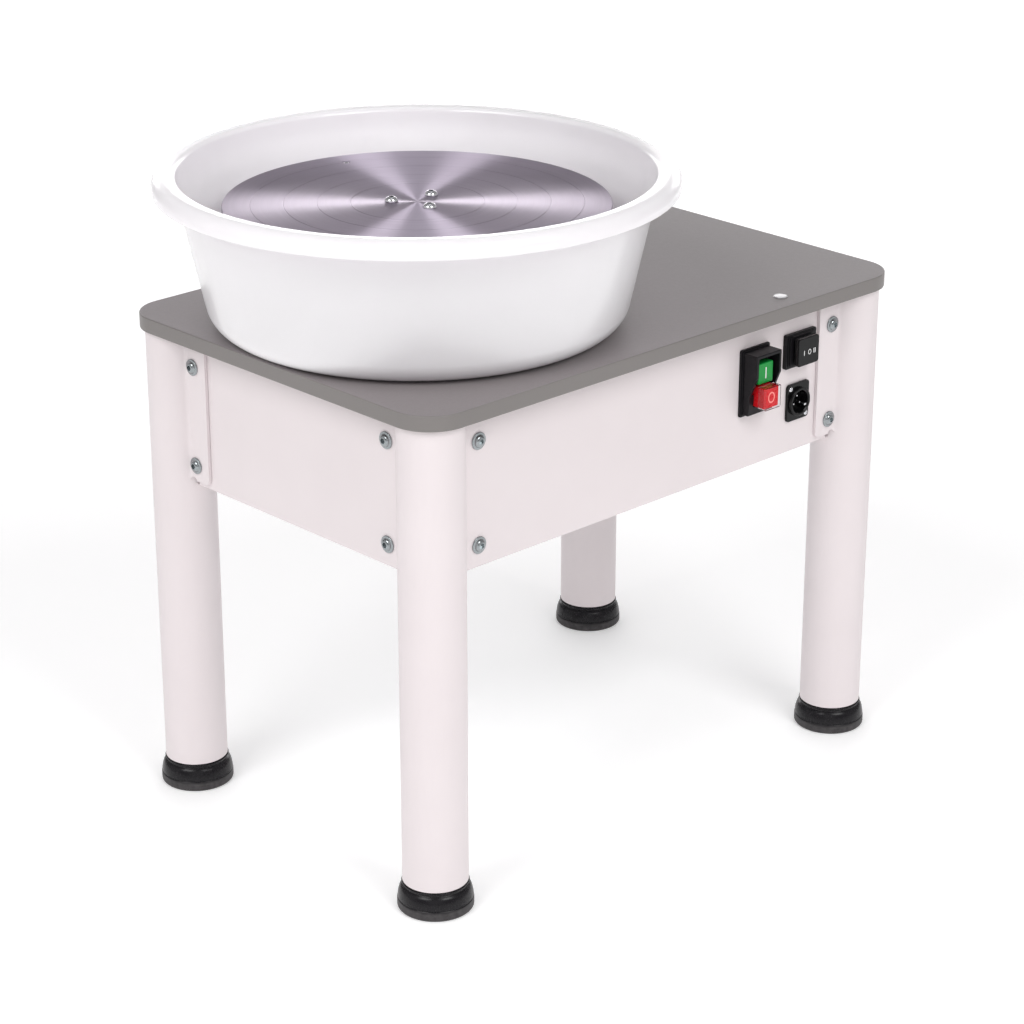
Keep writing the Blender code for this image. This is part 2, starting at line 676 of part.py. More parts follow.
def motor_bracket():
    """A folded plate under the motor, hung from the table by its two side walls."""
    plate_low, plate_high = 0.3035, 0.3087
    half_x, half_y, wall = 0.030, 0.045, 0.003
    work = bmesh.new()
    outline = [(-half_y - 0.012, UNDER_TABLE_Z - wall), (-half_y, UNDER_TABLE_Z - wall),
               (-half_y, plate_low), (half_y, plate_low),
               (half_y, UNDER_TABLE_Z - wall), (half_y + 0.012, UNDER_TABLE_Z - wall)]
    points = [work.verts.new((MOTOR_X - half_x, y, z)) for y, z in outline]
    for first, second in zip(points, points[1:]):
        work.edges.new((first, second))
    strip = bmesh.ops.extrude_edge_only(work, edges=work.edges[:])["geom"]
    far = [part for part in strip if isinstance(part, bmesh.types.BMVert)]
    bmesh.ops.translate(work, verts=far, vec=(2 * half_x, 0, 0))
    made = add_object("motor_bracket", work, "galvanised_sheet")
    wall_step = made.modifiers.new("sheet", "SOLIDIFY")
    wall_step.thickness = wall
    wall_step.offset = 1
    wall_step.use_even_offset = True
    drill(made, "bracket_hole", [((MOTOR_X, 0, plate_low), 0.0124, 0.02)], sides=24)


def pulleys():
    pulley("driven_pulley", BIG_PULLEY_R, SHAFT_R + GAP, WHEEL_X, PULLEY_HIGH_Z + 0.005, 40)
    drive_belt()
    motor()
    motor_bracket()


# ---------------------------------------------------------------- controls and power
def switch_box(name, centre, size, depth, finish, edge=0.0):
    """A box on the switch face: centre (X, Z), size (X, Z), depth (from, to) outwards."""
    x, z = centre
    return box(name, (x - size[0] / 2, SWITCH_FACE_Y - depth[1], z - size[1] / 2),
               (x + size[0] / 2, SWITCH_FACE_Y - depth[0], z + size[1] / 2), finish, edge)


NVR_SIZE = (0.0331, 0.0551)
GREEN_Z = NVR_CENTRE[1] + 0.0087
RED_Z = NVR_CENTRE[1] - 0.0099
BUTTON_SIZE = (0.0166, 0.0168)
NVR_BACK = 0.034
WELL_GAP = 0.0007            # room round each button


def motor_switch():
    """The no-volt-release switch: a plate with a hooded body, and one button above the other."""
    x, z = NVR_CENTRE
    made = switch_box("motor_switch", NVR_CENTRE, NVR_SIZE, (GAP, 0.0030), "black_plastic", 0.0008)
    low, high = z - NVR_SIZE[1] / 2 + 0.0022, z + NVR_SIZE[1] / 2 - 0.0022
    outline = [(0.0025, low), (0.0085, low), (0.0095, RED_Z + 0.0009), (0.0165, GREEN_Z - 0.0012),
               (0.0165, high), (0.0025, high)]
    width = NVR_SIZE[0] - 0.0044
    stand = Matrix(((0, 0, 1, x), (-1, 0, 0, SWITCH_FACE_Y), (0, 1, 0, 0), (0, 0, 0, 1)))
    hood = extruded("motor_switch_hood", outline, width, None, stand)
    combine(made, hood, "UNION")
    back = box("motor_switch_back", (x - 0.0138, SWITCH_FACE_Y - 0.0025, z - 0.0228),
               (x + 0.0138, SWITCH_FACE_Y + NVR_BACK, z + 0.0228), None)
    combine(made, back, "UNION")
    half_x, half_z = BUTTON_SIZE[0] / 2 + WELL_GAP, BUTTON_SIZE[1] / 2 + WELL_GAP
    well = ((x - half_x, SWITCH_FACE_Y - 0.03, RED_Z - half_z),
            (x + half_x, SWITCH_FACE_Y + 0.010, GREEN_Z + half_z))
    cheek = 0.0024
    hood_room = ((x - width / 2 + cheek, SWITCH_FACE_Y - 0.03, GREEN_Z - half_z),
                 (x + width / 2 - cheek, SWITCH_FACE_Y - 0.0060, high - cheek))
    mill(made, "motor_switch_well", [well])
    mill(made, "motor_switch_hood_room", [hood_room])


def switch_buttons():
    """The green start button sits inside the hood and the red stop button stands proud."""
    for name, level, front, finish in (("green_button", GREEN_Z, 0.0130, "green_plastic"),
                                       ("red_button", RED_Z, 0.0195, "red_plastic")):
        made = switch_box(name, (0, 0), BUTTON_SIZE, (-0.004, front), finish, 0.0006)
        made.data.transform(Matrix.Translation((0, -SWITCH_FACE_Y, 0)))
        made.location = (NVR_CENTRE[0], SWITCH_FACE_Y, level)


ROCKER_TILT_DEPTH = 0.0060    # the rocker's pivot, outside the switch face


def direction_switch():
    """A three-way rocker for left, stop and right, in a stepped sealing frame."""
    x, z = ROCKER_CENTRE
    frame = switch_box("rocker_frame", ROCKER_CENTRE, (0.0358, 0.0283), (GAP, 0.0035),
                       "black_plastic", 0.0006)
    step = switch_box("rocker_frame_step", ROCKER_CENTRE, (0.0300, 0.0255), (0.003, 0.0055), None)
    back = switch_box("rocker_frame_back", ROCKER_CENTRE, (0.0300, 0.0220), (-0.024, 0.0050), None)
    combine(frame, step, "UNION")
    combine(frame, back, "UNION")
    mill(frame, "rocker_well", [((x - 0.0080, SWITCH_FACE_Y - 0.02, z - 0.0080),
                                 (x + 0.0080, SWITCH_FACE_Y + 0.004, z + 0.0080))])
    cap = switch_box("direction_rocker", (0, 0), (0.0244, 0.0228), (0.0075, 0.0115),
                     "black_plastic", 0.0010)
    stem = switch_box("direction_rocker_stem", (0, 0), (0.0090, 0.0120), (0.0000, 0.0090), None)
    place = Vector((x, SWITCH_FACE_Y - ROCKER_TILT_DEPTH, z))
    shift = Matrix.Translation((0, ROCKER_TILT_DEPTH - SWITCH_FACE_Y, 0))
    for thing in (cap, stem):
        thing.data.transform(shift)
        thing.location = place
    combine(cap, stem, "UNION")


def pedal_socket():
    """A chassis socket for the foot pedal: flange, round mouth and a body behind the panel."""
    x, z = SOCKET_CENTRE
    made = switch_box("pedal_socket", SOCKET_CENTRE, (0.0260, 0.0310), (GAP, 0.0024),
                      "black_plastic", 0.0005)
    work = bmesh.new()
    add_rod(work, (x, SWITCH_FACE_Y - 0.00135, z), 0.0118, 0.0077, "Y", 24)
    combine(made, add_object("pedal_socket_mouth", work, None), "UNION")
    work = bmesh.new()
    add_rod(work, (x, SWITCH_FACE_Y + 0.0090, z), 0.0114, 0.0240, "Y", 24)
    combine(made, add_object("pedal_socket_body", work, None), "UNION")
    drill(made, "pedal_socket_bore", [((x, SWITCH_FACE_Y - 0.0035, z), 0.0092, 0.0160)], "Y", 24)


def power_inlet():
    """A three-pin mains inlet in the rear panel."""
    y, z = INLET_CENTRE
    face = REAR_FACE_X
    made = box("power_inlet", (face + GAP, y - 0.0240, z - 0.0140), (face + 0.0032, y + 0.0240, z + 0.0140),
               "black_plastic", 0.0008)
    body = box("power_inlet_body", (face - 0.0220, y - 0.0136, z - 0.0101),
               (face + 0.0010, y + 0.0136, z + 0.0101), None)
    combine(made, body, "UNION")
    mill(made, "power_inlet_mouth", [((face - 0.0150, y - 0.0120, z - 0.0085),
                                      (face + 0.0100, y + 0.0120, z + 0.0085))])


def controller():
    """The drive electronics: a folded tray hung under the table and the board in it."""
    low = Vector((TABLE_X + 0.1150, 0.0150, 0.2950))
    high = Vector((TABLE_X + 0.2000, 0.1150, 0.3560))
    wall = 0.0015
    tray = box("controller_tray", low, high, "galvanised_sheet")
    mill(tray, "controller_tray_inside", [((low.x + wall, low.y + wall, low.z + wall),
                                           (high.x - wall, high.y - wall, high.z + 0.01))])
    board_low = low + Vector((0.0045, 0.0045, 0.0065))
    board_high = Vector((high.x - 0.0045, high.y - 0.0045, board_low.z + 0.0016))
    board = box("controller_board", board_low, board_high, "board_green")
    work = bmesh.new()
    add_box(work, board_low + Vector((0.006, 0.060, 0.001)), board_low + Vector((0.066, 0.082, 0.040)))
    add_rod(work, board_low + Vector((0.018, 0.022, 0.016)), 0.011, 0.031, "Z", 16)
    add_rod(work, board_low + Vector((0.046, 0.022, 0.016)), 0.011, 0.031, "Z", 16)
    combine(board, add_object("controller_components", work, None), "UNION")


def build():
    build_frame()
    table_top()
    table_plug()
    bottom_plate()
    splash_pan()
    wheel_head()
    head_fixings()
    hub()
    spindle()
    for name, low in BEARING_LEVELS.items():
        bearing(name, low)
    bearing_housing()
    pulleys()
    motor_switch()
    switch_buttons()
    direction_switch()
    pedal_socket()
    power_inlet()
    controller()


build()
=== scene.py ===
# %% [markdown]
# # An electric pottery wheel
#
# A potter's wheel turns a flat metal head, and the clay on it, under the potter's hands. This one
# is a small electric wheel: a steel table on four tube legs, a white pan that catches the slip,
# and a turned aluminium head that a belt drives from below.
#
# A working model of the wheel comes first, as a frame of plain solids that already have their true
# sizes and places. This lesson goes round that frame piece by piece. It makes the finer surface
# that a person would see and touch, and then the finish of each material.

# %% Load the frame
import math

import bmesh
import bpy
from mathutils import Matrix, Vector


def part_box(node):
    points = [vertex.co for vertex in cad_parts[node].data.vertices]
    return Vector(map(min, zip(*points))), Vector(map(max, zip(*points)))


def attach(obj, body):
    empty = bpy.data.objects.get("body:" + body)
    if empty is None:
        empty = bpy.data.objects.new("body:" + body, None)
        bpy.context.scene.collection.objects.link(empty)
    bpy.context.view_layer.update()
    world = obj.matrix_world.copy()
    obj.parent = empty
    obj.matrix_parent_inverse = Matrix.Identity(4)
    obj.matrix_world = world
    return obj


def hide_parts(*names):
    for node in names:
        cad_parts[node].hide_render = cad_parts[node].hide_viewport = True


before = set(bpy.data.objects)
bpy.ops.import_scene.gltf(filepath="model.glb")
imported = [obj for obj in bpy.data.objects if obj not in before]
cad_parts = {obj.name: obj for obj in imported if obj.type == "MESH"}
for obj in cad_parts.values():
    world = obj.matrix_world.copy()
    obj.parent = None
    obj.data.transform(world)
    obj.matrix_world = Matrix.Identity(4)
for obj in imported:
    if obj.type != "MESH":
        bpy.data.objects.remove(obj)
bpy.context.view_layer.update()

# %% [markdown]
# ## Where things are
#
# Every place in this lesson is worked out from the frame, so nothing has to be fitted by eye. A
# node's box gives its lowest and highest corner, and for a round piece the middle of the box is on
# its axis. The potter sits at the -X end. The switches are on the -Y side, at the right hand.

# %% Places
def middle_of(node):
    low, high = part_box(node)
    return (low + high) / 2


WHEEL = middle_of("wheel_head")
WHEEL.z = 0
TABLE_LOW, TABLE_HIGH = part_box("table_top")
TABLE = (TABLE_LOW + TABLE_HIGH) / 2
UNDER_TABLE_Z = TABLE_LOW.z - 0.0003
SWITCH_FACE_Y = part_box("right_apron")[0].y
CORNERS = ("front_right", "rear_right", "rear_left", "front_left")
LEG_AXES = {corner: middle_of(corner + "_foot") for corner in CORNERS}
print("wheel axis at x =", round(WHEEL.x, 4), "and table top at z =", round(TABLE_HIGH.z, 4))

# %% [markdown]
# ## The camera
#
# A product picture is taken from well back with a long lens, so that upright lines stay nearly
# upright. The camera stands in front of the wheel's right-hand corner and looks down by about
# twenty degrees, which shows the head inside its pan, the table top and both near panels at once.

# %% Camera
bpy.ops.object.camera_add(location=(-1.4762, -1.5590, 1.0902))
camera = bpy.context.object
camera.name = "product_camera"
LOOKED_AT = Vector((0.0395, 0.0249, 0.2000))
camera.rotation_euler = (LOOKED_AT - camera.location).to_track_quat("-Z", "Y").to_euler()
camera.data.lens = 101.73
camera.data.sensor_width = 36
bpy.context.scene.camera = camera
print("camera", [round(value, 3) for value in camera.location])

# %% [markdown]
# ## Selecting and shaping
#
# The pieces below are modelled with the same operators that a person uses in Blender's window. An
# operator acts on whatever is selected, so each helper first clears the selection, and then picks
# faces or edges by their place. Each helper leaves the piece at the origin, unturned and unscaled,
# with its place in its mesh, because that is how the frame's own nodes are kept.

# %% Helpers that select
PARTS_OF_A_MESH = {"VERT": "verts", "EDGE": "edges", "FACE": "faces"}


def only(thing):
    """Leave edit mode, and make one object the only selected one."""
    if bpy.context.mode != "OBJECT":
        bpy.ops.object.mode_set(mode="OBJECT")
    bpy.ops.object.select_all(action="DESELECT")
    thing.select_set(True)
    bpy.context.view_layer.objects.active = thing


def pick(thing, kind, test):
    """Open a piece in edit mode, and select only what passes the test."""
    only(thing)
    bpy.ops.object.mode_set(mode="EDIT")
    bpy.ops.mesh.select_mode(type=kind)
    bpy.ops.mesh.select_all(action="DESELECT")
    work = bmesh.from_edit_mesh(thing.data)
    found = [part for part in getattr(work, PARTS_OF_A_MESH[kind]) if test(part)]
    for part in found:
        part.select_set(True)
    bmesh.update_edit_mesh(thing.data)


def leave():
    bpy.ops.object.mode_set(mode="OBJECT")


def settle(thing):
    """Put a piece's place, turn and size into its mesh."""
    only(thing)
    bpy.ops.object.transform_apply(location=True, rotation=True, scale=True)
    return thing


# %% Helpers that shape
def everything(part):
    return True


def round_edges(thing, test, width, segments=3):
    """Bevel the edges that pass the test."""
    pick(thing, "EDGE", test)
    bpy.ops.mesh.bevel(offset=width, segments=segments, affect="EDGES")
    leave()


def along(axis):
    """A test for edges that run along one axis: 0 for X, 1 for Y, 2 for Z."""
    def test(edge):
        step = edge.verts[1].co - edge.verts[0].co
        return abs(step[axis]) > 0.999 * step.length
    return test


def smooth(thing, angle=35):
    only(thing)
    bpy.ops.object.shade_smooth_by_angle(angle=math.radians(angle))
    return thing


def block(name, low, high, edge=0.0, segments=3):
    """A box between two corners, with its edges rounded."""
    low, high = Vector(low), Vector(high)
    bpy.ops.mesh.primitive_cube_add(size=1, location=(low + high) / 2, scale=high - low)
    thing = bpy.context.object
    thing.name = name
    settle(thing)
    if edge:
        round_edges(thing, everything, edge, segments)
        smooth(thing)
    return thing


def rod(name, centre, radius, length, axis="Z", sides=48):
    """A closed cylinder, mostly used as a cutter."""
    turns = {"X": (0, math.pi / 2, 0), "Y": (math.pi / 2, 0, 0), "Z": (0, 0, 0)}
    bpy.ops.mesh.primitive_cylinder_add(vertices=sides, radius=radius, depth=length, location=centre,
                                        rotation=turns[axis])
    thing = bpy.context.object
    thing.name = name
    return settle(thing)


def apply_modifier(thing, kind, **settings):
    """Add one modifier, set it and apply it."""
    step = thing.modifiers.new(kind.lower(), kind)
    for name, value in settings.items():
        setattr(step, name, value)
    only(thing)
    bpy.ops.object.modifier_apply(modifier=step.name)
    return thing


def combine(thing, other, operation="DIFFERENCE"):
    """Cut the other piece out of this one, or join it on, and use it up."""
    apply_modifier(thing, "BOOLEAN", object=other, operation=operation, solver="EXACT")
    bpy.data.objects.remove(other, do_unlink=True)
    return thing


# %% [markdown]
# ## Turned pieces
#
# Much of a wheel is round: the pan, the head, the feet, the screws. A lathe makes these by moving
# a tool along a profile while the work turns. In Blender the same thing is done by drawing the
# profile with one point, extruded from place to place, and spinning it round an axis. The first
# and last ring then meet, so doubled points are merged and the normals are made to face outwards.

# %% Helpers that turn
def arc(centre, radius, start, end, steps):
    """Points of an arc in a profile, angles in degrees."""
    points = []
    for step in range(steps + 1):
        angle = math.radians(start + (end - start) * step / steps)
        points.append((centre[0] + radius * math.cos(angle), centre[1] + radius * math.sin(angle)))
    return points


def turned(name, profile, centre=(0, 0), steps=96, angle=35, tidy=True):
    """Draw a profile of (radius, height) by extruding one point, then spin it about an axis."""
    x, y = centre
    radius, height = profile[0]
    bpy.ops.mesh.primitive_plane_add(size=0.001, location=(x + radius, y, height))
    thing = bpy.context.object
    thing.name = name
    settle(thing)
    pick(thing, "VERT", everything)
    bpy.ops.mesh.merge(type="CENTER")
    for (near, low), (far, high) in zip(profile, profile[1:]):
        bpy.ops.mesh.extrude_vertices_move(TRANSFORM_OT_translate={"value": (far - near, 0, high - low)})
    bpy.ops.mesh.select_all(action="SELECT")
    bpy.ops.mesh.spin(steps=steps, angle=math.tau, center=(x, y, 0), axis=(0, 0, 1))
    bpy.ops.mesh.select_all(action="SELECT")
    bpy.ops.mesh.remove_doubles(threshold=0.000002)
    bpy.ops.mesh.normals_make_consistent(inside=False)
    leave()
    return smooth(thing, angle) if tidy else thing


def facing(thing, place, outward):
    """Turn a piece that was made facing up so that it faces outwards, and move it into place."""
    thing.rotation_euler = Vector((0, 0, 1)).rotation_difference(Vector(outward)).to_euler()
    thing.location = place
    return settle(thing)


def copy_of(thing, name):
    only(thing)
    bpy.ops.object.duplicate(linked=False)
    made = bpy.context.object
    made.name = name
    return made


# %% [markdown]
# ## Naming what a piece stands for
#
# Each fine piece rides on a body of the frame, so that it moves with the joints, and takes the
# place of one or more plain nodes.
# A Weighted Normal modifier comes first. It lets large flat faces keep their own direction where
# they meet a small rounded edge, so a flat plate shades flat.

# %% Helper that hands a piece over
def stand_for(thing, body, slot, finish, *nodes):
    """Give a piece its finish and its body, and hide the plain nodes that it replaces."""
    apply_modifier(thing, "WEIGHTED_NORMAL", keep_sharp=True)
    if finish is not None:
        thing.data.materials.clear()
        thing.data.materials.append(finish.material)
    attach(thing, body)
    if nodes:
        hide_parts(*nodes)
    print(f"{thing.name}: {len(thing.data.polygons)} faces, rides on {body}")
    return thing

# %% [markdown]
# ## Shader maths as arithmetic
#
# A procedural finish is a small calculation on the surface's own coordinates. In the shader editor
# each plus or times is a node and a few wires. The class below wraps a node's output and gives it
# Python's operators, so that the calculation can be read as a line of arithmetic. One method makes
# every other kind of node from its type, its settings and the values or wires of its inputs.

# %% Signals and finishes
class Signal:
    """The output of one shader node."""

    def __init__(self, finish, socket):
        self.finish = finish
        self.socket = socket

    def maths(self, operation, first, second):
        return self.finish.node("ShaderNodeMath", {"operation": operation}, {0: first, 1: second})

    def __add__(self, other):
        return self.maths("ADD", self, other)

    def __radd__(self, other):
        return self.maths("ADD", other, self)

    def __sub__(self, other):
        return self.maths("SUBTRACT", self, other)

    def __rsub__(self, other):
        return self.maths("SUBTRACT", other, self)

    def __mul__(self, other):
        return self.maths("MULTIPLY", self, other)

    def __rmul__(self, other):
        return self.maths("MULTIPLY", other, self)


class Finish:
    """A material: its constants, and the nodes that vary it over the surface."""

    def __init__(self, name, colour, roughness, metallic=0.0, **constants):
        self.material = bpy.data.materials.new(name)
        self.material.use_nodes = True
        self.tree = self.material.node_tree
        self.shader = self.tree.nodes["Principled BSDF"]
        self.set("Base Color", (*colour, 1))
        self.set("Roughness", roughness)
        self.set("Metallic", metallic)
        for constant, value in constants.items():
            self.set(constant.replace("_", " "), value)
        print("finish", name)

    def set(self, socket, value):
        self.wire(self.shader.inputs[socket], value)

    def wire(self, socket, value):
        if isinstance(value, Signal):
            self.tree.links.new(value.socket, socket)
        else:
            socket.default_value = value

    def node(self, kind, settings, inputs, output=0):
        made = self.tree.nodes.new(kind)
        for name, value in settings.items():
            setattr(made, name, value)
        for name, value in inputs.items():
            self.wire(made.inputs[name], value)
        return Signal(self, made.outputs[output])

    def spot(self, centre=(0, 0, 0)):
        """The point being shaded, in metres from a centre."""
        here = self.node("ShaderNodeTexCoord", {}, {}, "Object")
        shift = tuple(-place for place in centre)
        return self.node("ShaderNodeMapping", {}, {"Vector": here, "Location": shift})

    def noise(self, size, detail=2.0):
        """Cloudy values from 0 to 1 whose patches are about size metres wide."""
        inputs = {"Vector": self.spot(), "Scale": 1 / size, "Detail": detail}
        return self.node("ShaderNodeTexNoise", {}, inputs)

    def between(self, amount, first, second):
        """A colour between two colours."""
        inputs = {0: amount, 6: (*first, 1), 7: (*second, 1)}
        return self.node("ShaderNodeMix", {"data_type": "RGBA"}, inputs, 2)

    def relief(self, height, depth):
        """Raise the surface by height times depth metres, as far as light can tell."""
        inputs = {"Height": height, "Distance": depth, "Strength": 1.0}
        self.set("Normal", self.node("ShaderNodeBump", {}, inputs))


# %% [markdown]
# ## Powder coat
#
# The legs and panels are sprayed with dry powder that melts in an oven and flows into a skin. It
# never flows quite flat: close up it has the fine ripple of an orange's peel, about a millimetre
# across, and its gloss varies slightly. The white is warm, with a trace of pink.

# %% Powder coat
POWDER_COAT = Finish("white_powder_coat", (0.80, 0.732, 0.742), 0.42)
cloud = POWDER_COAT.noise(0.060, 3)
POWDER_COAT.set("Base Color", POWDER_COAT.between(cloud, (0.775, 0.707, 0.717), (0.82, 0.752, 0.762)))
POWDER_COAT.set("Roughness", 0.36 + 0.12 * POWDER_COAT.noise(0.004, 3))
POWDER_COAT.relief(POWDER_COAT.noise(0.0011, 2), 0.00004)

# %% [markdown]
# ## Table board
#
# The table top is a laminate board: a hard printed skin over a core, with a band of plastic ironed
# on its edge. The skin is a matt warm grey with a very fine speckle. The band is darker and a
# little glossier, so the edge reads as a dark line round the top.

# %% Table board and its edge
TABLE_FACE = Finish("grey_laminate", (0.225, 0.208, 0.206), 0.55, Specular_IOR_Level=0.35)
speckle = TABLE_FACE.noise(0.0007, 2)
TABLE_FACE.set("Base Color", TABLE_FACE.between(speckle, (0.222, 0.205, 0.206), (0.260, 0.240, 0.240)))
TABLE_FACE.set("Roughness", 0.48 + 0.14 * TABLE_FACE.noise(0.003, 3))
TABLE_FACE.relief(TABLE_FACE.noise(0.0005, 2), 0.00002)

TABLE_EDGE = Finish("grey_edge_band", (0.205, 0.190, 0.183), 0.40)
TABLE_EDGE.set("Roughness", 0.36 + 0.1 * TABLE_EDGE.noise(0.002, 2))
TABLE_EDGE.relief(TABLE_EDGE.noise(0.0012, 1), 0.00002)

# %% [markdown]
# ## Pan plastic
#
# The splash pan is moulded in one piece from a smooth white plastic. It is glossy enough to show
# soft reflections of the lamps, and it has a cool, faintly violet white beside the warm legs. A
# wall under three millimetres thick lets some light through, so the plastic scatters light below
# its surface and the inside of the pan glows.

# %% Pan plastic
PAN_PLASTIC = Finish("white_pan_plastic", (0.96, 0.885, 0.95), 0.22, Coat_Weight=0.25, Coat_Roughness=0.08,
                     Subsurface_Weight=1.0, Subsurface_Radius=(1.0, 1.0, 1.0), Subsurface_Scale=0.008)
PAN_PLASTIC.set("Roughness", 0.20 + 0.09 * PAN_PLASTIC.noise(0.020, 3))
PAN_PLASTIC.relief(PAN_PLASTIC.noise(0.008, 2), 0.00003)

# %% [markdown]
# ## Turned aluminium
#
# A lathe leaves thousands of fine rings on the face of the head. Each ring is a tiny mirror that
# throws light only across itself, which is why a turned disc shows bright fans that meet at its
# centre and swing round as a person walks by. Painting those fans would freeze them. A shader's
# anisotropy makes them instead: the reflection is stretched across the rings, and the default
# tangent of a round piece already runs round its axis. Fine rings in the colour, the gloss and
# the relief add the marks of the tool.

# %% Turned aluminium
ALUMINIUM = Finish("turned_aluminium", (0.52, 0.48, 0.54), 0.45, 1.0, Anisotropic=1.0,
                   Anisotropic_Rotation=0.25)
from_axis = ALUMINIUM.spot(centre=(WHEEL.x, WHEEL.y, 0))
flat = ALUMINIUM.node("ShaderNodeVectorMath", {"operation": "MULTIPLY"}, {0: from_axis, 1: (1, 1, 0)})
radius = ALUMINIUM.node("ShaderNodeVectorMath", {"operation": "LENGTH"}, {0: flat}, "Value")
one_way = {"noise_dimensions": "1D"}
coarse = ALUMINIUM.node("ShaderNodeTexNoise", one_way, {"W": radius, "Scale": 260, "Detail": 3})
fine = ALUMINIUM.node("ShaderNodeTexNoise", one_way, {"W": radius, "Scale": 2400, "Detail": 2})
rings = 0.5 * coarse + 0.5 * fine
ALUMINIUM.set("Base Color", ALUMINIUM.between(rings, (0.44, 0.39, 0.47), (0.60, 0.535, 0.63)))
ALUMINIUM.set("Roughness", 0.38 + 0.14 * rings)
ALUMINIUM.relief(fine, 0.000012)

# %% [markdown]
# ## Screws, steel and castings
#
# The panel screws are zinc plated: grey, slightly blue, with a soft bloom. The screws in the head
# are polished stainless steel. The castings inside are left as turned, duller and a little grainy.

# %% Screws, steel and castings
def metal(name, dark, light, roughness, spread, grain, depth):
    finish = Finish(name, light, roughness, 1.0)
    cloud = finish.noise(grain, 3)
    finish.set("Base Color", finish.between(cloud, dark, light))
    finish.set("Roughness", roughness + spread * cloud)
    finish.relief(finish.noise(grain / 3, 2), depth)
    return finish


ZINC = metal("zinc_plate", (0.24, 0.26, 0.27), (0.42, 0.45, 0.46), 0.16, 0.12, 0.0014, 0.00001)
STEEL = metal("bright_steel", (0.60, 0.60, 0.62), (0.74, 0.74, 0.76), 0.12, 0.10, 0.0020, 0.00001)
CASTING = metal("turned_casting", (0.46, 0.46, 0.47), (0.58, 0.58, 0.59), 0.38, 0.18, 0.0030, 0.00006)
SHEET = metal("zinc_coated_sheet", (0.44, 0.46, 0.47), (0.60, 0.62, 0.63), 0.34, 0.16, 0.0120, 0.00002)

# %% [markdown]
# ## Plastics and rubber
#
# The switches and sockets are black plastic with a fine spark-eroded grain from the mould, and the
# feet are a softer black plastic, dusty where they meet the floor. The buttons are coloured in the
# plastic itself. The marks on them are printed, in white ink and on the red button in a pale red.

# %% Plastics and rubber
def plastic(name, colour, roughness, grain=0.0006, depth=0.00002, **constants):
    finish = Finish(name, colour, roughness, **constants)
    lift = tuple(min(1, 1.25 * channel + 0.004) for channel in colour)
    finish.set("Base Color", finish.between(finish.noise(0.006, 3), colour, lift))
    finish.set("Roughness", roughness - 0.06 + 0.12 * finish.noise(grain * 3, 2))
    finish.relief(finish.noise(grain, 2), depth)
    return finish


BLACK = plastic("black_plastic", (0.006, 0.0055, 0.007), 0.34, Specular_IOR_Level=0.18)
GLOSS_BLACK = plastic("gloss_black_plastic", (0.003, 0.003, 0.0035), 0.16, 0.0015, 0.00001,
                      Specular_IOR_Level=0.22)
GREEN = plastic("green_button_plastic", (0.003, 0.26, 0.040), 0.30, Specular_IOR_Level=0.3)
RED = plastic("red_button_plastic", (0.56, 0.006, 0.011), 0.28, Specular_IOR_Level=0.3)
WHITE_INK = plastic("white_ink", (0.80, 0.80, 0.80), 0.45)
PINK_INK = plastic("pale_red_ink", (0.95, 0.28, 0.25), 0.45)
RUBBER = plastic("belt_rubber", (0.020, 0.020, 0.020), 0.75, 0.0004, 0.00004)
ENAMEL = plastic("motor_enamel", (0.035, 0.036, 0.040), 0.34, 0.0015, 0.00003)
SOLDER_MASK = plastic("circuit_board", (0.010, 0.100, 0.035), 0.32)
CLEAR = Finish("clear_cover", (0.99, 0.99, 1.0), 0.05, Transmission_Weight=1.0, IOR=1.2)
CLEAR.set("Roughness", 0.03 + 0.05 * CLEAR.noise(0.004, 2))

# %% [markdown]
# The feet need one more thing. Their bell is smooth, and their lowest ring is scuffed grey by the
# floor. The height above the floor decides between the two.

# %% Foot plastic
FOOT = Finish("foot_plastic", (0.010, 0.009, 0.011), 0.30, Specular_IOR_Level=0.28)
height = FOOT.node("ShaderNodeSeparateXYZ", {}, {"Vector": FOOT.spot()}, "Z")
scuffs = FOOT.noise(0.004, 4)
low_down = FOOT.node("ShaderNodeMapRange", {}, {"Value": height, 1: 0.0085, 2: 0.0060})
dust = low_down * scuffs
FOOT.set("Base Color", FOOT.between(dust, (0.007, 0.006, 0.008), (0.10, 0.093, 0.095)))
FOOT.set("Roughness", 0.24 + 0.50 * dust + 0.06 * FOOT.noise(0.0015, 2))
FOOT.relief(FOOT.noise(0.0012, 3), 0.00001)

# %% [markdown]
# ## The splash pan
#
# The pan is one thin-walled moulding. A collar in its floor lets the spindle through and keeps
# water out, a generous fillet joins floor and wall so that a sponge can wipe it, the wall leans
# out so that the moulding leaves its mould, and a rolled lip stiffens the edge. Only the wet side
# is drawn and spun. A Solidify modifier then gives the sheet its thickness towards the dry side.

# %% Splash pan
PAN_LOW, PAN_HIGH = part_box("splash_pan")
PAN_WALL = 0.0028
LEAN = 0.218                                   # outward lean of the wall, per metre of height
LEAN_ANGLE = math.degrees(math.atan(LEAN))
WALL_SKEW = math.cos(math.atan(LEAN))          # a level cut through the leaning wall is wider
WALL_AT_TABLE = 0.1566 - PAN_WALL / WALL_SKEW
RIM_R = (PAN_HIGH.x - PAN_LOW.x) / 2
LIP_ROLL = 0.0095
LIP_SKIRT = 0.0040                             # the lip's straight edge below its roll
CREASE = 0.0045                                # fillet where the wall turns out into the lip


def pan_wall_radius(z):
    return WALL_AT_TABLE + LEAN * (z - TABLE_HIGH.z)


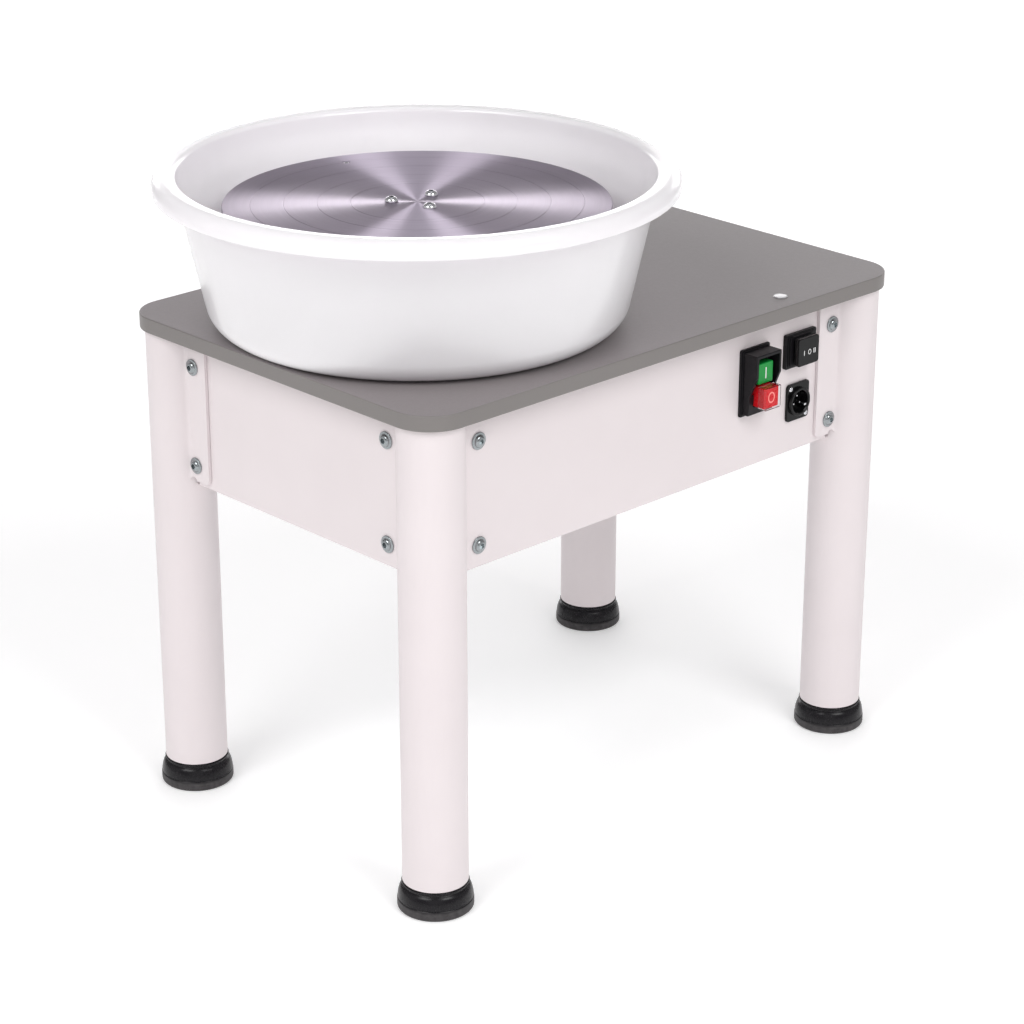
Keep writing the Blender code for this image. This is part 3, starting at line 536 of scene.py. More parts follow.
def pan_profile():
    floor = PAN_LOW.z + PAN_WALL
    fillet = 0.021 - PAN_WALL
    collar, collar_top, collar_fillet = 0.035, 0.462, 0.006
    fillet_z = floor + fillet
    fillet_r = pan_wall_radius(fillet_z) - fillet / WALL_SKEW
    lip_z = PAN_HIGH.z - 0.0003 - CREASE
    lip_r = pan_wall_radius(lip_z) + CREASE / WALL_SKEW
    points = [(collar, collar_top)]
    points += arc((collar + collar_fillet, floor + collar_fillet), collar_fillet, 180, 270, 6)
    points += arc((fillet_r, fillet_z), fillet, -90, -LEAN_ANGLE, 14)
    points += arc((lip_r, lip_z), CREASE, 180 - LEAN_ANGLE, 90, 6)
    points += arc((RIM_R - LIP_ROLL, PAN_HIGH.z - LIP_ROLL), LIP_ROLL, 90, 0, 12)
    points.append((RIM_R - 0.0003, PAN_HIGH.z - LIP_ROLL - LIP_SKIRT))
    return points


pan = turned("splash_pan_moulding", pan_profile(), (WHEEL.x, WHEEL.y), 192, tidy=False)
floor_face = max(pan.data.polygons, key=lambda face: -abs(face.center.z - PAN_LOW.z - PAN_WALL))
dry_side = -1 if floor_face.normal.z > 0 else 1
apply_modifier(pan, "SOLIDIFY", thickness=PAN_WALL, offset=dry_side, use_even_offset=True)
lip_edge_z = PAN_HIGH.z - LIP_ROLL - LIP_SKIRT
round_edges(pan, lambda edge: all(abs(v.co.z - lip_edge_z) < 0.0006 for v in edge.verts)
            and all((v.co - WHEEL).xy.length > RIM_R - 0.0045 for v in edge.verts), 0.0009)
smooth(pan, 50)
stand_for(pan, "table", "pan_plastic", PAN_PLASTIC, "splash_pan")

# %% [markdown]
# ## The wheel head
#
# The head is a thick aluminium disc faced on a lathe. Four shallow rings, 25 millimetres apart,
# help the potter to centre clay, and each is a real V-shaped groove in the profile. Two threaded
# holes on the outer ring take the pins that hold a throwing bat, and grub screws close them.

# %% Wheel head
HEAD_LOW, HEAD_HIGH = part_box("wheel_head")
HEAD_R = (HEAD_HIGH.x - HEAD_LOW.x) / 2
RING_RADII = (0.050, 0.075, 0.100, 0.125)
GROOVE_HALF = 0.00045
GROOVE_DEPTH = 0.00030
EDGE_BREAK = 0.0010


def head_profile():
    top, low = HEAD_HIGH.z, HEAD_LOW.z
    points = [(0, top)]
    for ring in RING_RADII:
        points += [(ring - GROOVE_HALF, top), (ring, top - GROOVE_DEPTH), (ring + GROOVE_HALF, top)]
    points += arc((HEAD_R - EDGE_BREAK, top - EDGE_BREAK), EDGE_BREAK, 90, 0, 4)
    points += arc((HEAD_R - EDGE_BREAK, low + EDGE_BREAK), EDGE_BREAK, 0, -90, 4)
    points.append((0, low))
    return points


head = turned("wheel_head_disc", head_profile(), (WHEEL.x, WHEEL.y), 256, angle=20)
for number in (1, 2):
    hole = middle_of(f"bat_pin_plug_{number}")
    combine(head, rod("pin_hole", (hole.x, hole.y, HEAD_HIGH.z - 0.004), 0.0031, 0.012))
stand_for(smooth(head, 20), "wheel", "wheel_aluminium", ALUMINIUM, "wheel_head")

# %% [markdown]
# ## Button-head screws
#
# Every screw here is an M6 button head with a hexagon socket. The panels are held by the kind with
# a flange, like a washer that is part of the head. One screw of each kind is turned from a
# profile, its socket is cut with a six-sided cutter, and the rest are copies.

# %% Screw patterns
HEAD_HEIGHT = 0.0033


def screw_pattern(name, flange):
    """A screw at the origin that faces up, with the underside of its head at height 0."""
    head_r, top, shank = 0.0050, HEAD_HEIGHT, 0.0030
    points = [(0, top)] + arc((0.0018, 0.0001), top - 0.0001, 76, 18, 7)
    if flange:
        points += [(head_r + 0.0002, 0.0010)] + arc((0.0061, 0.0004), 0.0005, 80, 0, 4) + [(0.0066, 0)]
    else:
        points += [(head_r + 0.0001, 0.0004), (head_r, 0)]
    points += [(shank, 0), (shank, -0.0090), (shank - 0.0007, -0.0100), (0, -0.0100)]
    made = turned(name, points, steps=48)
    combine(made, rod("hexagon_socket", (0, 0, top), 0.0023, 0.0042, sides=6))
    return smooth(made, 30)


flanged_screw = screw_pattern("flanged_screw_pattern", True)
plain_screw = screw_pattern("plain_screw_pattern", False)

# %% Panel screws
OUTWARD = {
    "right": Vector((0, -1, 0)),
    "left": Vector((0, 1, 0)),
    "front": Vector((-1, 0, 0)),
    "rear": Vector((1, 0, 0)),
}


def screw_seat(node, outward):
    """The point on the screw's axis where its head meets the panel."""
    low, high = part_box(node)
    seat = (low + high) / 2
    axis = max(range(3), key=lambda i: abs(outward[i]))
    seat[axis] = (high if outward[axis] > 0 else low)[axis] - HEAD_HEIGHT * outward[axis]
    return seat


for node in sorted(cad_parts):
    side = node.rsplit("_", 1)[-1]
    if "_screw_" in node and side in OUTWARD:
        outward = OUTWARD[side]
        screw = facing(copy_of(flanged_screw, node + "_fine"), screw_seat(node, outward), outward)
        stand_for(screw, "table", "zinc_screws", ZINC, node)

# %% Screws and grub screws in the head
for number in (1, 2, 3):
    node = f"head_screw_{number}"
    seat = middle_of(node)
    seat.z = HEAD_HIGH.z + 0.0003
    screw = facing(copy_of(plain_screw, node + "_fine"), seat, (0, 0, 1))
    stand_for(screw, "wheel", "bright_steel", STEEL, node)

for number in (1, 2):
    node = f"bat_pin_plug_{number}"
    place = middle_of(node)
    top = HEAD_HIGH.z - 0.0004
    end = top - 0.0076
    profile = [(0, top), (0.0024, top), (0.0028, top - 0.0004), (0.0028, end), (0, end)]
    grub = turned(node + "_grub_screw", profile, (place.x, place.y), 32)
    combine(grub, rod("grub_socket", (place.x, place.y, top), 0.00145, 0.0040, sides=6))
    stand_for(smooth(grub, 30), "wheel", "bright_steel", STEEL, node)

for pattern in (flanged_screw, plain_screw):
    bpy.data.objects.remove(pattern, do_unlink=True)

# %% [markdown]
# ## The feet
#
# Each foot screws into its leg to level the wheel. Under the tube is a thin lip, below it a bell,
# then a groove, and then a straight ring that stands on the floor. The two halves of the
# mould leave a fine raised seam down the bell, made here by lifting one column of faces.

# %% Feet
FOOT_STEPS = 160
BELL_TOP, BELL_LOW = 0.0186, 0.0090
SEAM_HEIGHT = 0.00018
SEAM_TURNS = {"front_right": -127, "rear_right": -40, "rear_left": 170, "front_left": -100}


def foot_profile():
    points = [(0, 0.0450), (0.0050, 0.0450), (0.0050, 0.0221)]
    points += arc((0.0250, 0.0214), 0.0007, 90, -90, 6)
    points += [(0.0246, 0.0203), (0.0246, 0.0192), (0.0251, 0.0187), (0.0260, 0.0180), (0.0267, 0.0170),
               (0.0274, 0.0155), (0.0279, 0.0138), (0.0283, 0.0120), (0.0286, 0.0103), (0.0287, 0.0089),
               (0.0285, 0.0086), (0.0283, 0.0083), (0.0285, 0.0080), (0.0289, 0.0077), (0.0290, 0.0072)]
    points += arc((0.0268, 0.0022), 0.0022, 0, -90, 7)
    points.append((0, 0))
    return points


def on_seam(face, axis, turn):
    offset = face.calc_center_median() - axis
    away = math.degrees(math.atan2(offset.y, offset.x)) - turn
    away = (away + 180) % 360 - 180
    return abs(away) < 180 / FOOT_STEPS and BELL_LOW < offset.z < BELL_TOP and offset.xy.length > 0.02


for corner in CORNERS:
    axis = LEG_AXES[corner].copy()
    axis.z = 0
    foot = turned(corner + "_foot_moulding", foot_profile(), (axis.x, axis.y), FOOT_STEPS)
    pick(foot, "FACE", lambda face: on_seam(face, axis, SEAM_TURNS[corner]))
    bpy.ops.mesh.extrude_region_shrink_fatten(TRANSFORM_OT_shrink_fatten={"value": SEAM_HEIGHT})
    leave()
    stand_for(smooth(foot, 40), corner + "_foot", "black_plastic", FOOT, corner + "_foot")

# %% [markdown]
# ## The table top
#
# The top is a rounded rectangle of board. Its four upright edges are bevelled into big corners,
# two holes are drilled, and then the rims get a small bevel that catches the light. Faces that
# look up or down keep the laminate. Everything between them is edge band.

# %% Table top
CORNER_R = 0.032

top_board = block("laminate_table_top", TABLE_LOW, TABLE_HIGH)
round_edges(top_board, along(2), CORNER_R, 16)
combine(top_board, rod("spigot_hole", (WHEEL.x, WHEEL.y, TABLE.z), 0.0300, 0.03, sides=64))
PLUG = middle_of("table_plug")
combine(top_board, rod("plug_hole", (PLUG.x, PLUG.y, TABLE.z), 0.0047, 0.03, sides=32))


def is_rim(edge):
    levels = sorted(abs(face.normal.z) for face in edge.link_faces)
    return len(levels) == 2 and levels[0] < 0.1 and levels[1] > 0.9


round_edges(top_board, is_rim, 0.0008, 2)
smooth(top_board, 50)
top_board.data.materials.append(TABLE_FACE.material)
top_board.data.materials.append(TABLE_EDGE.material)
pick(top_board, "FACE", lambda face: abs(face.normal.z) < 0.99)
top_board.active_material_index = 1
bpy.ops.object.material_slot_assign()
leave()
stand_for(top_board, "table", "table_board", None, "table_top")

# %% Cap in the table top
cap_top = TABLE_HIGH.z + 0.0009
cap_profile = [(0, cap_top)] + arc((0.0047, cap_top - 0.0006), 0.0006, 90, 0, 4)
cap_profile += [(0.0055, TABLE_HIGH.z + 0.0002), (0.0043, TABLE_HIGH.z + 0.0002),
                (0.0043, TABLE_HIGH.z - 0.010), (0, TABLE_HIGH.z - 0.010)]
cap = turned("table_cap", cap_profile, (PLUG.x, PLUG.y), 48)
stand_for(cap, "table", "pan_plastic", PAN_PLASTIC, "table_plug")

# %% [markdown]
# ## Drawing a flat outline
#
# Sheet metal and brackets have the same section all along. Such a piece is drawn as a flat
# outline, point by point, then filled and extruded. The helper draws it lying down. A second
# helper stands it up against one side of the table.

# %% Helpers for outlines
def prism(name, outline, low, high):
    """Extrude one point round a flat outline, fill it, and extrude the face upwards."""
    x, y = outline[0]
    bpy.ops.mesh.primitive_plane_add(size=0.001, location=(x, y, low))
    thing = bpy.context.object
    thing.name = name
    settle(thing)
    pick(thing, "VERT", everything)
    bpy.ops.mesh.merge(type="CENTER")
    for (x0, y0), (x1, y1) in zip(outline, outline[1:]):
        bpy.ops.mesh.extrude_vertices_move(TRANSFORM_OT_translate={"value": (x1 - x0, y1 - y0, 0)})
    bpy.ops.mesh.select_all(action="SELECT")
    bpy.ops.mesh.edge_face_add()
    bpy.ops.mesh.extrude_region_move(TRANSFORM_OT_translate={"value": (0, 0, high - low)})
    bpy.ops.mesh.select_all(action="SELECT")
    bpy.ops.mesh.normals_make_consistent(inside=False)
    leave()
    return thing


def stand_up(thing, place, inward):
    """Outline x points inwards, outline y points up, and the extrusion runs sideways."""
    inward, up = Vector(inward), Vector((0, 0, 1))
    turn = thing.matrix_world.to_3x3()
    turn.col[0], turn.col[1], turn.col[2] = inward, up, inward.cross(up)
    thing.matrix_world = turn.to_4x4()
    thing.location = place
    return settle(thing)


# %% [markdown]
# ## The legs
#
# Each leg is a 50 millimetre tube with two welded flanges that the panels are screwed to. On two
# of the legs the flanges lie outside the panels, where their cut edges, their rounded lower
# corners and the round relief beside the tube all show, and a soft fillet of weld and paint joins
# them to the tube. On the other two the flanges hide behind the panels.

# %% Legs
TUBE_R = 0.025
TUBE_WALL = 0.002
LEG_LOW_Z = 0.0225
FLANGE_LOW_Z = 0.270
FLANGE_REACH = 0.045
FLANGE_THICK = 0.0025
PANEL_FACE = LEG_AXES["front_right"].y - SWITCH_FACE_Y
WELD = 0.005
RELIEF = 0.0037
RELIEF_REACH = 0.0262
RELIEF_Z = FLANGE_LOW_Z - 0.0010
SCREW_HOLE = 0.0033
LEG_TURNS = {"front_right": 0, "rear_right": 90, "rear_left": 180, "front_left": 270}
OUTER_FLANGES = ("rear_right", "front_left")
SCREW_LEVELS = (0.3633, 0.2830)
OUTER_REACH, INNER_REACH = 0.0300, 0.0388      # leg axis to the screws, on the two kinds of leg


def outer_flange_outline():
    """The flange and its weld, seen from above, with the panel along +X and outwards along +Y."""
    near = PANEL_FACE + 0.0003
    far = near + FLANGE_THICK
    weld_y = far + WELD
    weld_x = math.sqrt((TUBE_R + WELD) ** 2 - weld_y ** 2)
    touch = math.degrees(math.atan2(-weld_y, -weld_x)) % 360
    points = [(0.0220, near), (FLANGE_REACH, near), (FLANGE_REACH, far)]
    points += arc((weld_x, weld_y), WELD, 270, touch, 8)
    points.append((0.0200, 0.0120))
    return points


def inner_flange_outline():
    far = PANEL_FACE - 0.0018
    near = far - FLANGE_THICK
    return [(0.0234, near), (FLANGE_REACH, near), (FLANGE_REACH, far), (0.0234, far)]


def flange(name, outline, mirrored, top):
    """One flange in its leg's own frame, with the panels along +X and +Y."""
    points = [(y, x) for x, y in outline] if mirrored else list(outline)
    points = [(-x, y) if mirrored else (x, -y) for x, y in points]
    made = prism(name, points, FLANGE_LOW_Z, top)
    reach = 1 if mirrored else 0
    for level, corner_r in ((FLANGE_LOW_Z, 0.0050), (top, 0.0030)):
        round_edges(made, lambda edge: all(abs(v.co[reach] - FLANGE_REACH) < 1e-5
                    and abs(v.co.z - level) < 1e-5 for v in edge.verts), corner_r, 6)
    spot = (0, RELIEF_REACH, RELIEF_Z) if mirrored else (RELIEF_REACH, 0, RELIEF_Z)
    return combine(made, rod("relief", spot, RELIEF, 0.06, "X" if mirrored else "Y", 24))


def leg(corner):
    outside = corner in OUTER_FLANGES
    inner = TUBE_R - TUBE_WALL
    brim = 0.0005
    tube = [(inner, UNDER_TABLE_Z), (TUBE_R, UNDER_TABLE_Z)]
    tube += arc((TUBE_R - brim, LEG_LOW_Z + brim), brim, 0, -90, 3)
    tube += [(inner, LEG_LOW_Z), (inner, UNDER_TABLE_Z)]
    made = turned(corner + "_tube_leg", tube, steps=128, tidy=False)
    outline = outer_flange_outline() if outside else inner_flange_outline()
    top = UNDER_TABLE_Z if outside else UNDER_TABLE_Z - 0.003
    reach = OUTER_REACH if outside else INNER_REACH
    for mirrored in (False, True):
        combine(made, flange("flange", outline, mirrored, top), "UNION")
        for level in SCREW_LEVELS:
            spot = (0, reach, level) if mirrored else (reach, 0, level)
            combine(made, rod("screw_hole", spot, SCREW_HOLE, 0.04, "X" if mirrored else "Y", 24))
    made.rotation_euler.z = math.radians(LEG_TURNS[corner])
    made.location = (LEG_AXES[corner].x, LEG_AXES[corner].y, 0)
    return smooth(settle(made), 30)


for corner in CORNERS:
    stand_for(leg(corner), "table", "powder_coat", POWDER_COAT, corner + "_leg")

# %% [markdown]
# ## The panels
#
# Four panels of folded sheet close the table in. Each is a shallow channel: a face, with both long
# edges folded inwards on a bending press, which leaves a round bend and not a sharp corner. The
# section is drawn with arcs at both bends. The ends are cut to fit round the tubes.

# %% Panels
SHEET_THICK = 0.0015
PANEL_LOW_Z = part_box("right_apron")[0].z
FOLD_WIDTH = 0.012
BEND_R = 0.0026


def folded_section():
    low, high = PANEL_LOW_Z, UNDER_TABLE_Z
    inner_bend = BEND_R - SHEET_THICK
    upper, lower = (BEND_R, high - BEND_R), (BEND_R, low + BEND_R)
    points = [(FOLD_WIDTH, high)] + arc(upper, BEND_R, 90, 180, 6) + arc(lower, BEND_R, 180, 270, 6)
    points += [(FOLD_WIDTH, low), (FOLD_WIDTH, low + SHEET_THICK)]
    points += arc(lower, inner_bend, 270, 180, 6) + arc(upper, inner_bend, 180, 90, 6)
    points.append((FOLD_WIDTH, high - SHEET_THICK))
    return points


def panel(side, start_corner, end_corner):
    """A panel between two legs, drawn straight and then cut round both tubes."""
    start, end = LEG_AXES[start_corner], LEG_AXES[end_corner]
    half = (end - start).length / 2
    made = prism(side + "_folded_panel", folded_section(), -half + TUBE_R - 0.002, half - TUBE_R + 0.002)
    middle = (start + end) / 2
    middle.z = 0
    stand_up(made, middle + OUTWARD[side] * PANEL_FACE, -OUTWARD[side])
    through = "Y" if side in ("right", "left") else "X"
    for corner in (start_corner, end_corner):
        axis = LEG_AXES[corner]
        towards = middle - axis
        towards.z = 0
        towards.normalize()
        combine(made, rod("cope", (axis.x, axis.y, 0.33), TUBE_R + 0.0002, 0.2, sides=128))
        reach = OUTER_REACH if corner in OUTER_FLANGES else INNER_REACH
        for level in SCREW_LEVELS:
            spot = axis + towards * reach + OUTWARD[side] * PANEL_FACE
            spot.z = level
            combine(made, rod("screw_hole", spot, SCREW_HOLE, 0.008, through, 24))
        if corner in OUTER_FLANGES:
            spot = axis + towards * RELIEF_REACH + OUTWARD[side] * PANEL_FACE
            spot.z = RELIEF_Z
            combine(made, rod("relief", spot, RELIEF, 0.008, through, 24))
    return made


SWITCH = middle_of("motor_switch")
ROCKER = middle_of("rocker_frame")
SOCKET = middle_of("pedal_socket")
INLET = middle_of("power_inlet")
REAR_X = LEG_AXES["rear_right"].x + PANEL_FACE
PANEL_ENDS = {
    "right": ("front_right", "rear_right"),
    "left": ("rear_left", "front_left"),
    "front": ("front_left", "front_right"),
    "rear": ("rear_right", "rear_left"),
}

for side, (start_corner, end_corner) in PANEL_ENDS.items():
    made = panel(side, start_corner, end_corner)
    if side == "right":
        for place, width, height in ((SWITCH, 0.0286, 0.0466), (ROCKER, 0.0306, 0.0226)):
            low = (place.x - width / 2, SWITCH_FACE_Y - 0.003, place.z - height / 2)
            high = (place.x + width / 2, SWITCH_FACE_Y + 0.005, place.z + height / 2)
            combine(made, block("cut_out", low, high))
        combine(made, rod("socket_hole", (SOCKET.x, SWITCH_FACE_Y, SOCKET.z), 0.0122, 0.010, "Y"))
    if side == "rear":
        combine(made, block("cut_out", (REAR_X - 0.005, INLET.y - 0.0140, INLET.z - 0.0105),
                            (REAR_X + 0.003, INLET.y + 0.0140, INLET.z + 0.0105)))
    stand_for(smooth(made, 30), "table", "powder_coat", POWDER_COAT, side + "_apron")

# %% [markdown]
# ## The motor switch
#
# The motor is switched by a pair of buttons in one black housing. Green starts it and red stops it,
# and a mains failure lets it drop out, so the wheel never starts by itself. A stepped plate covers
# the cut-out. On it stands a body with a hood over the top, whose thin cheeks get lower towards
# the red button. The green button sits back under the hood so that a knee can't press it. The red
# one stands proud, in a small clear box.

# %% Helpers for the right-hand panel
def out_of_panel(depth):
    """The Y of a point that stands so far out from the right-hand panel."""
    return SWITCH_FACE_Y - depth


def on_panel(name, place, size, depths, corner_r=0.0, edge=0.0003):
    """A plate on the right-hand panel, centred on a place, between two depths out of it."""
    low = (place.x - size[0] / 2, out_of_panel(depths[1]), place.z - size[1] / 2)
    high = (place.x + size[0] / 2, out_of_panel(depths[0]), place.z + size[1] / 2)
    made = block(name, low, high)
    if corner_r:
        round_edges(made, along(1), corner_r, 5)
    if edge:
        front = out_of_panel(depths[1])
        round_edges(made, lambda line: all(abs(v.co.y - front) < 1e-6 for v in line.verts), edge, 2)
    return smooth(made)


def small_screw(name, profile, slot_half, slot_floor, slot_top, turns):
    """A screw that faces up, with a slot cut across its head at each turn, in degrees."""
    made = turned(name, profile, steps=32)
    half_length, half_width = slot_half
    for turn in turns:
        slot = block("slot", (-half_length, -half_width, slot_floor), (half_length, half_width, slot_top))
        slot.rotation_euler.z = math.radians(turn)
        combine(made, settle(slot))
    return smooth(made, 30)


# %% Switch housing
GREEN_LOW, GREEN_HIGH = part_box("green_button")
RED_LOW, RED_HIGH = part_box("red_button")
SWITCH_LOW, SWITCH_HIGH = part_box("motor_switch")
GREEN_MIDDLE, RED_MIDDLE = middle_of("green_button"), middle_of("red_button")
WELL_GAP = 0.0007
WELL_FLOOR = -0.0100
HOOD_DEPTH = 0.0165
CHEEK_DEPTHS = (0.0095, 0.0085)                # beside the red button and at the bottom
CHEEK_WALL = 0.0024
BODY_WIDTH = 0.0287
PLATE_EDGE = 0.0022                            # from the plate's edge to the body
PAST_ALL = 0.03                                # a depth in front of every piece on the panel


def switch_outline():
    """The body seen from its side: depth out of the panel, against height."""
    low, high = SWITCH_LOW.z + PLATE_EDGE, SWITCH_HIGH.z - PLATE_EDGE
    return [(0.0005, low), (CHEEK_DEPTHS[1], low), (CHEEK_DEPTHS[0], RED_MIDDLE.z + 0.0009),
            (HOOD_DEPTH, GREEN_MIDDLE.z - 0.0012), (HOOD_DEPTH, high), (0.0005, high)]


housing = prism("switch_housing", switch_outline(), -BODY_WIDTH / 2, BODY_WIDTH / 2)
stand_up(housing, (SWITCH.x, SWITCH_FACE_Y, 0), (0, -1, 0))
round_edges(housing, lambda edge: edge.calc_face_angle(0) > 0.3
            and any(v.co.y < out_of_panel(0.004) for v in edge.verts), 0.0006, 3)
plate_size = (SWITCH_HIGH.x - SWITCH_LOW.x, SWITCH_HIGH.z - SWITCH_LOW.z)
combine(housing, on_panel("plate", SWITCH, plate_size, (0.0003, 0.0022), 0.0016, 0.0005), "UNION")
inner_size = (plate_size[0] - 0.0026, plate_size[1] - 0.0026)
combine(housing, on_panel("step", SWITCH, inner_size, (0.0010, 0.0031), 0.0012, 0.0004), "UNION")
combine(housing, block("back", (SWITCH.x - 0.0138, out_of_panel(0.0020), SWITCH.z - 0.0228),
                       (SWITCH.x + 0.0138, SWITCH_HIGH.y, SWITCH.z + 0.0228)), "UNION")
well = block("well", (RED_LOW.x - WELL_GAP, out_of_panel(PAST_ALL), RED_LOW.z - WELL_GAP),
             (RED_HIGH.x + WELL_GAP, out_of_panel(WELL_FLOOR), GREEN_HIGH.z + WELL_GAP))
room_top = SWITCH_HIGH.z - PLATE_EDGE - CHEEK_WALL
room = block("room_under_the_hood",
             (SWITCH.x - BODY_WIDTH / 2 + CHEEK_WALL, out_of_panel(PAST_ALL), RED_MIDDLE.z + 0.0012),
             (SWITCH.x + BODY_WIDTH / 2 - CHEEK_WALL, out_of_panel(0.0060), room_top))
for pocket in (well, room):
    round_edges(pocket, along(1), 0.0010, 4)
    combine(housing, pocket)
stand_for(smooth(housing, 30), "table", "black_plastic", BLACK, "motor_switch")

# %% [markdown]
# ## The buttons and their marks
#
# Each button is a square cap with softened edges and a very slightly crowned face. The marks are
# the standard ones for on and off. They are raised a tenth of a millimetre, and ride on the
# buttons, so they move in when a button is pressed.

# %% Buttons
def button(name, body, finish, slot, low, high):
    cap = block(name + "_cap", low, high)
    round_edges(cap, along(1), 0.0011, 4)
    pick(cap, "FACE", lambda face: face.normal.y < -0.9)
    bpy.ops.mesh.inset(thickness=0.0010, depth=0.0)
    bpy.ops.transform.translate(value=(0, -0.0002, 0))
    leave()
    round_edges(cap, lambda edge: all(abs(v.co.y - low.y) < 1e-6 for v in edge.verts), 0.0005, 3)
    return stand_for(smooth(cap), body, slot, finish, name)


def mark_bar(name, place, width, height, front, body, finish, slot):
    """An upright printed bar whose face stands a tenth of a millimetre proud."""
    bar = on_panel(name, place, (width, height), (front - 0.0006, front + 0.0001), width * 0.3, 0.00005)
    return stand_for(bar, body, slot, finish)


def mark_ring(name, place, width, height, line, front, body, finish, slot):
    """A printed oval ring, turned as a flat ring and then made narrower."""
    outer = height / 2
    profile = [(outer - line, 0.0001), (outer, 0.0001), (outer, -0.0006), (outer - line, -0.0006),
               (outer - line, 0.0001)]
    ring = turned(name, profile, steps=48)
    ring.scale.x = width / height
    settle(ring)
    facing(ring, (place.x, out_of_panel(front), place.z), (0, -1, 0))
    return stand_for(ring, body, slot, finish)


button("green_button", "start_button", GREEN, "green_plastic", GREEN_LOW, GREEN_HIGH)
button("red_button", "stop_button", RED, "red_plastic", RED_LOW, RED_HIGH)
GREEN_FRONT = SWITCH_FACE_Y - GREEN_LOW.y + 0.0002
RED_FRONT = SWITCH_FACE_Y - RED_LOW.y + 0.0002
mark_bar("start_mark", GREEN_MIDDLE, 0.0011, 0.0092, GREEN_FRONT, "start_button", WHITE_INK, "pan_plastic")
mark_ring("stop_mark", RED_MIDDLE, 0.0076, 0.0090, 0.0011, RED_FRONT, "stop_button", PINK_INK, "red_plastic")

# %% [markdown]
# ## The clear cover
#
# A small box of clear plastic goes round the red button and stands a little in front of it. It is
# a square tube: a block, with a smaller block cut out of it. It rides on the button.

# %% Clear cover of the stop button
COVER_WALL = 0.0007
COVER_DEPTHS = (0.0142, 0.0213)
inside = (RED_HIGH.x - RED_LOW.x + 0.0002, RED_HIGH.z - RED_LOW.z + 0.0002)
outside = (inside[0] + 2 * COVER_WALL, inside[1] + 2 * COVER_WALL)
cover = on_panel("stop_button_clear_cover", RED_MIDDLE, outside, COVER_DEPTHS, 0.0014, 0.0)
combine(cover, on_panel("cover_hole", RED_MIDDLE, inside, (0.0100, PAST_ALL), 0.0008, 0.0))
cover_front = out_of_panel(COVER_DEPTHS[1])
round_edges(cover, lambda edge: edge.calc_face_angle(0) > 1.2
            and all(abs(v.co.y - cover_front) < 1e-6 for v in edge.verts), 0.00015, 2)
stand_for(smooth(cover), "stop_button", "red_plastic", CLEAR)

# %% [markdown]
# ## The direction switch
#
# A wide rocker chooses left, stop or right. A rubber bellows seals it to its frame against water
# and slip: three low steps in front of the plate. The cap has round corners and a groove round its
# sides, and carries a ring between one bar and two bars.

# %% Rocker frame with its bellows
ROCKER_LOW, ROCKER_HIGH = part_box("rocker_frame")
frame_size = (ROCKER_HIGH.x - ROCKER_LOW.x, ROCKER_HIGH.z - ROCKER_LOW.z)
rocker_frame = on_panel("rocker_frame_and_bellows", ROCKER, frame_size, (0.0003, 0.0035), 0.0014, 0.0006)
BELLOWS = (                                    # size, depths and corner radius of each step
    ((0.0322, 0.0266), (0.0020, 0.0043), 0.0030),
    ((0.0290, 0.0242), (0.0035, 0.0048), 0.0034),
    ((0.0300, 0.0255), (0.0045, 0.0055), 0.0036),
)
for size, depths, corner_r in BELLOWS:
    combine(rocker_frame, on_panel("bellows_step", ROCKER, size, depths, corner_r, 0.0005), "UNION")
combine(rocker_frame, block("back", (ROCKER.x - 0.0150, out_of_panel(0.0020), ROCKER.z - 0.0110),
                            (ROCKER.x + 0.0150, ROCKER_HIGH.y, ROCKER.z + 0.0110)), "UNION")
combine(rocker_frame, block("stem_well", (ROCKER.x - 0.0080, out_of_panel(0.02), ROCKER.z - 0.0080),
                            (ROCKER.x + 0.0080, out_of_panel(-0.0040), ROCKER.z + 0.0080)))
stand_for(smooth(rocker_frame, 30), "table", "black_plastic", BLACK, "rocker_frame")

# %% Rocker cap and its marks
CAP_LOW, CAP_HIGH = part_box("direction_rocker")
CAP_SIZE = (CAP_HIGH.x - CAP_LOW.x, CAP_HIGH.z - CAP_LOW.z)
CAP_FRONT = SWITCH_FACE_Y - CAP_LOW.y
CAP_BACK = CAP_FRONT - 0.0040
cap = on_panel("rocker_cap", ROCKER, CAP_SIZE, (CAP_BACK, CAP_FRONT), 0.0022, 0.0007)
ring_size = (CAP_SIZE[0] + 0.002, CAP_SIZE[1] + 0.002)
core_size = (CAP_SIZE[0] - 0.0010, CAP_SIZE[1] - 0.0010)
groove = on_panel("cap_groove", ROCKER, ring_size, (CAP_BACK + 0.0008, CAP_BACK + 0.0014))
inner = on_panel("cap_core", ROCKER, core_size, (CAP_BACK, CAP_BACK + 0.0030), 0.0020)
combine(groove, inner)
combine(cap, groove)
combine(cap, block("stem", (ROCKER.x - 0.0045, out_of_panel(0.0090), ROCKER.z - 0.0060),
                   (ROCKER.x + 0.0045, CAP_HIGH.y, ROCKER.z + 0.0060)), "UNION")
stand_for(smooth(cap, 30), "rocker", "black_plastic", GLOSS_BLACK, "direction_rocker")

MARKS_AT = ROCKER + Vector((0.0010, 0, -0.0008))
for name, shift in (("one", -0.0063), ("two_near", 0.0050), ("two_far", 0.0066)):
    mark_bar(f"direction_mark_{name}", MARKS_AT + Vector((shift, 0, 0)), 0.0007, 0.0040, CAP_FRONT, "rocker",
             WHITE_INK, "pan_plastic")
mark_ring("direction_mark_stop", MARKS_AT, 0.0036, 0.0044, 0.0006, CAP_FRONT, "rocker",
          WHITE_INK, "pan_plastic")

# %% [markdown]
# ## The pedal socket
#
# The foot pedal plugs in below the rocker. The socket has a rectangular flange with round corners,
# held by two small screws, and a round mouth that stands out of it. Inside are an insulating disc
# with three pins and a sprung latch that holds the plug.

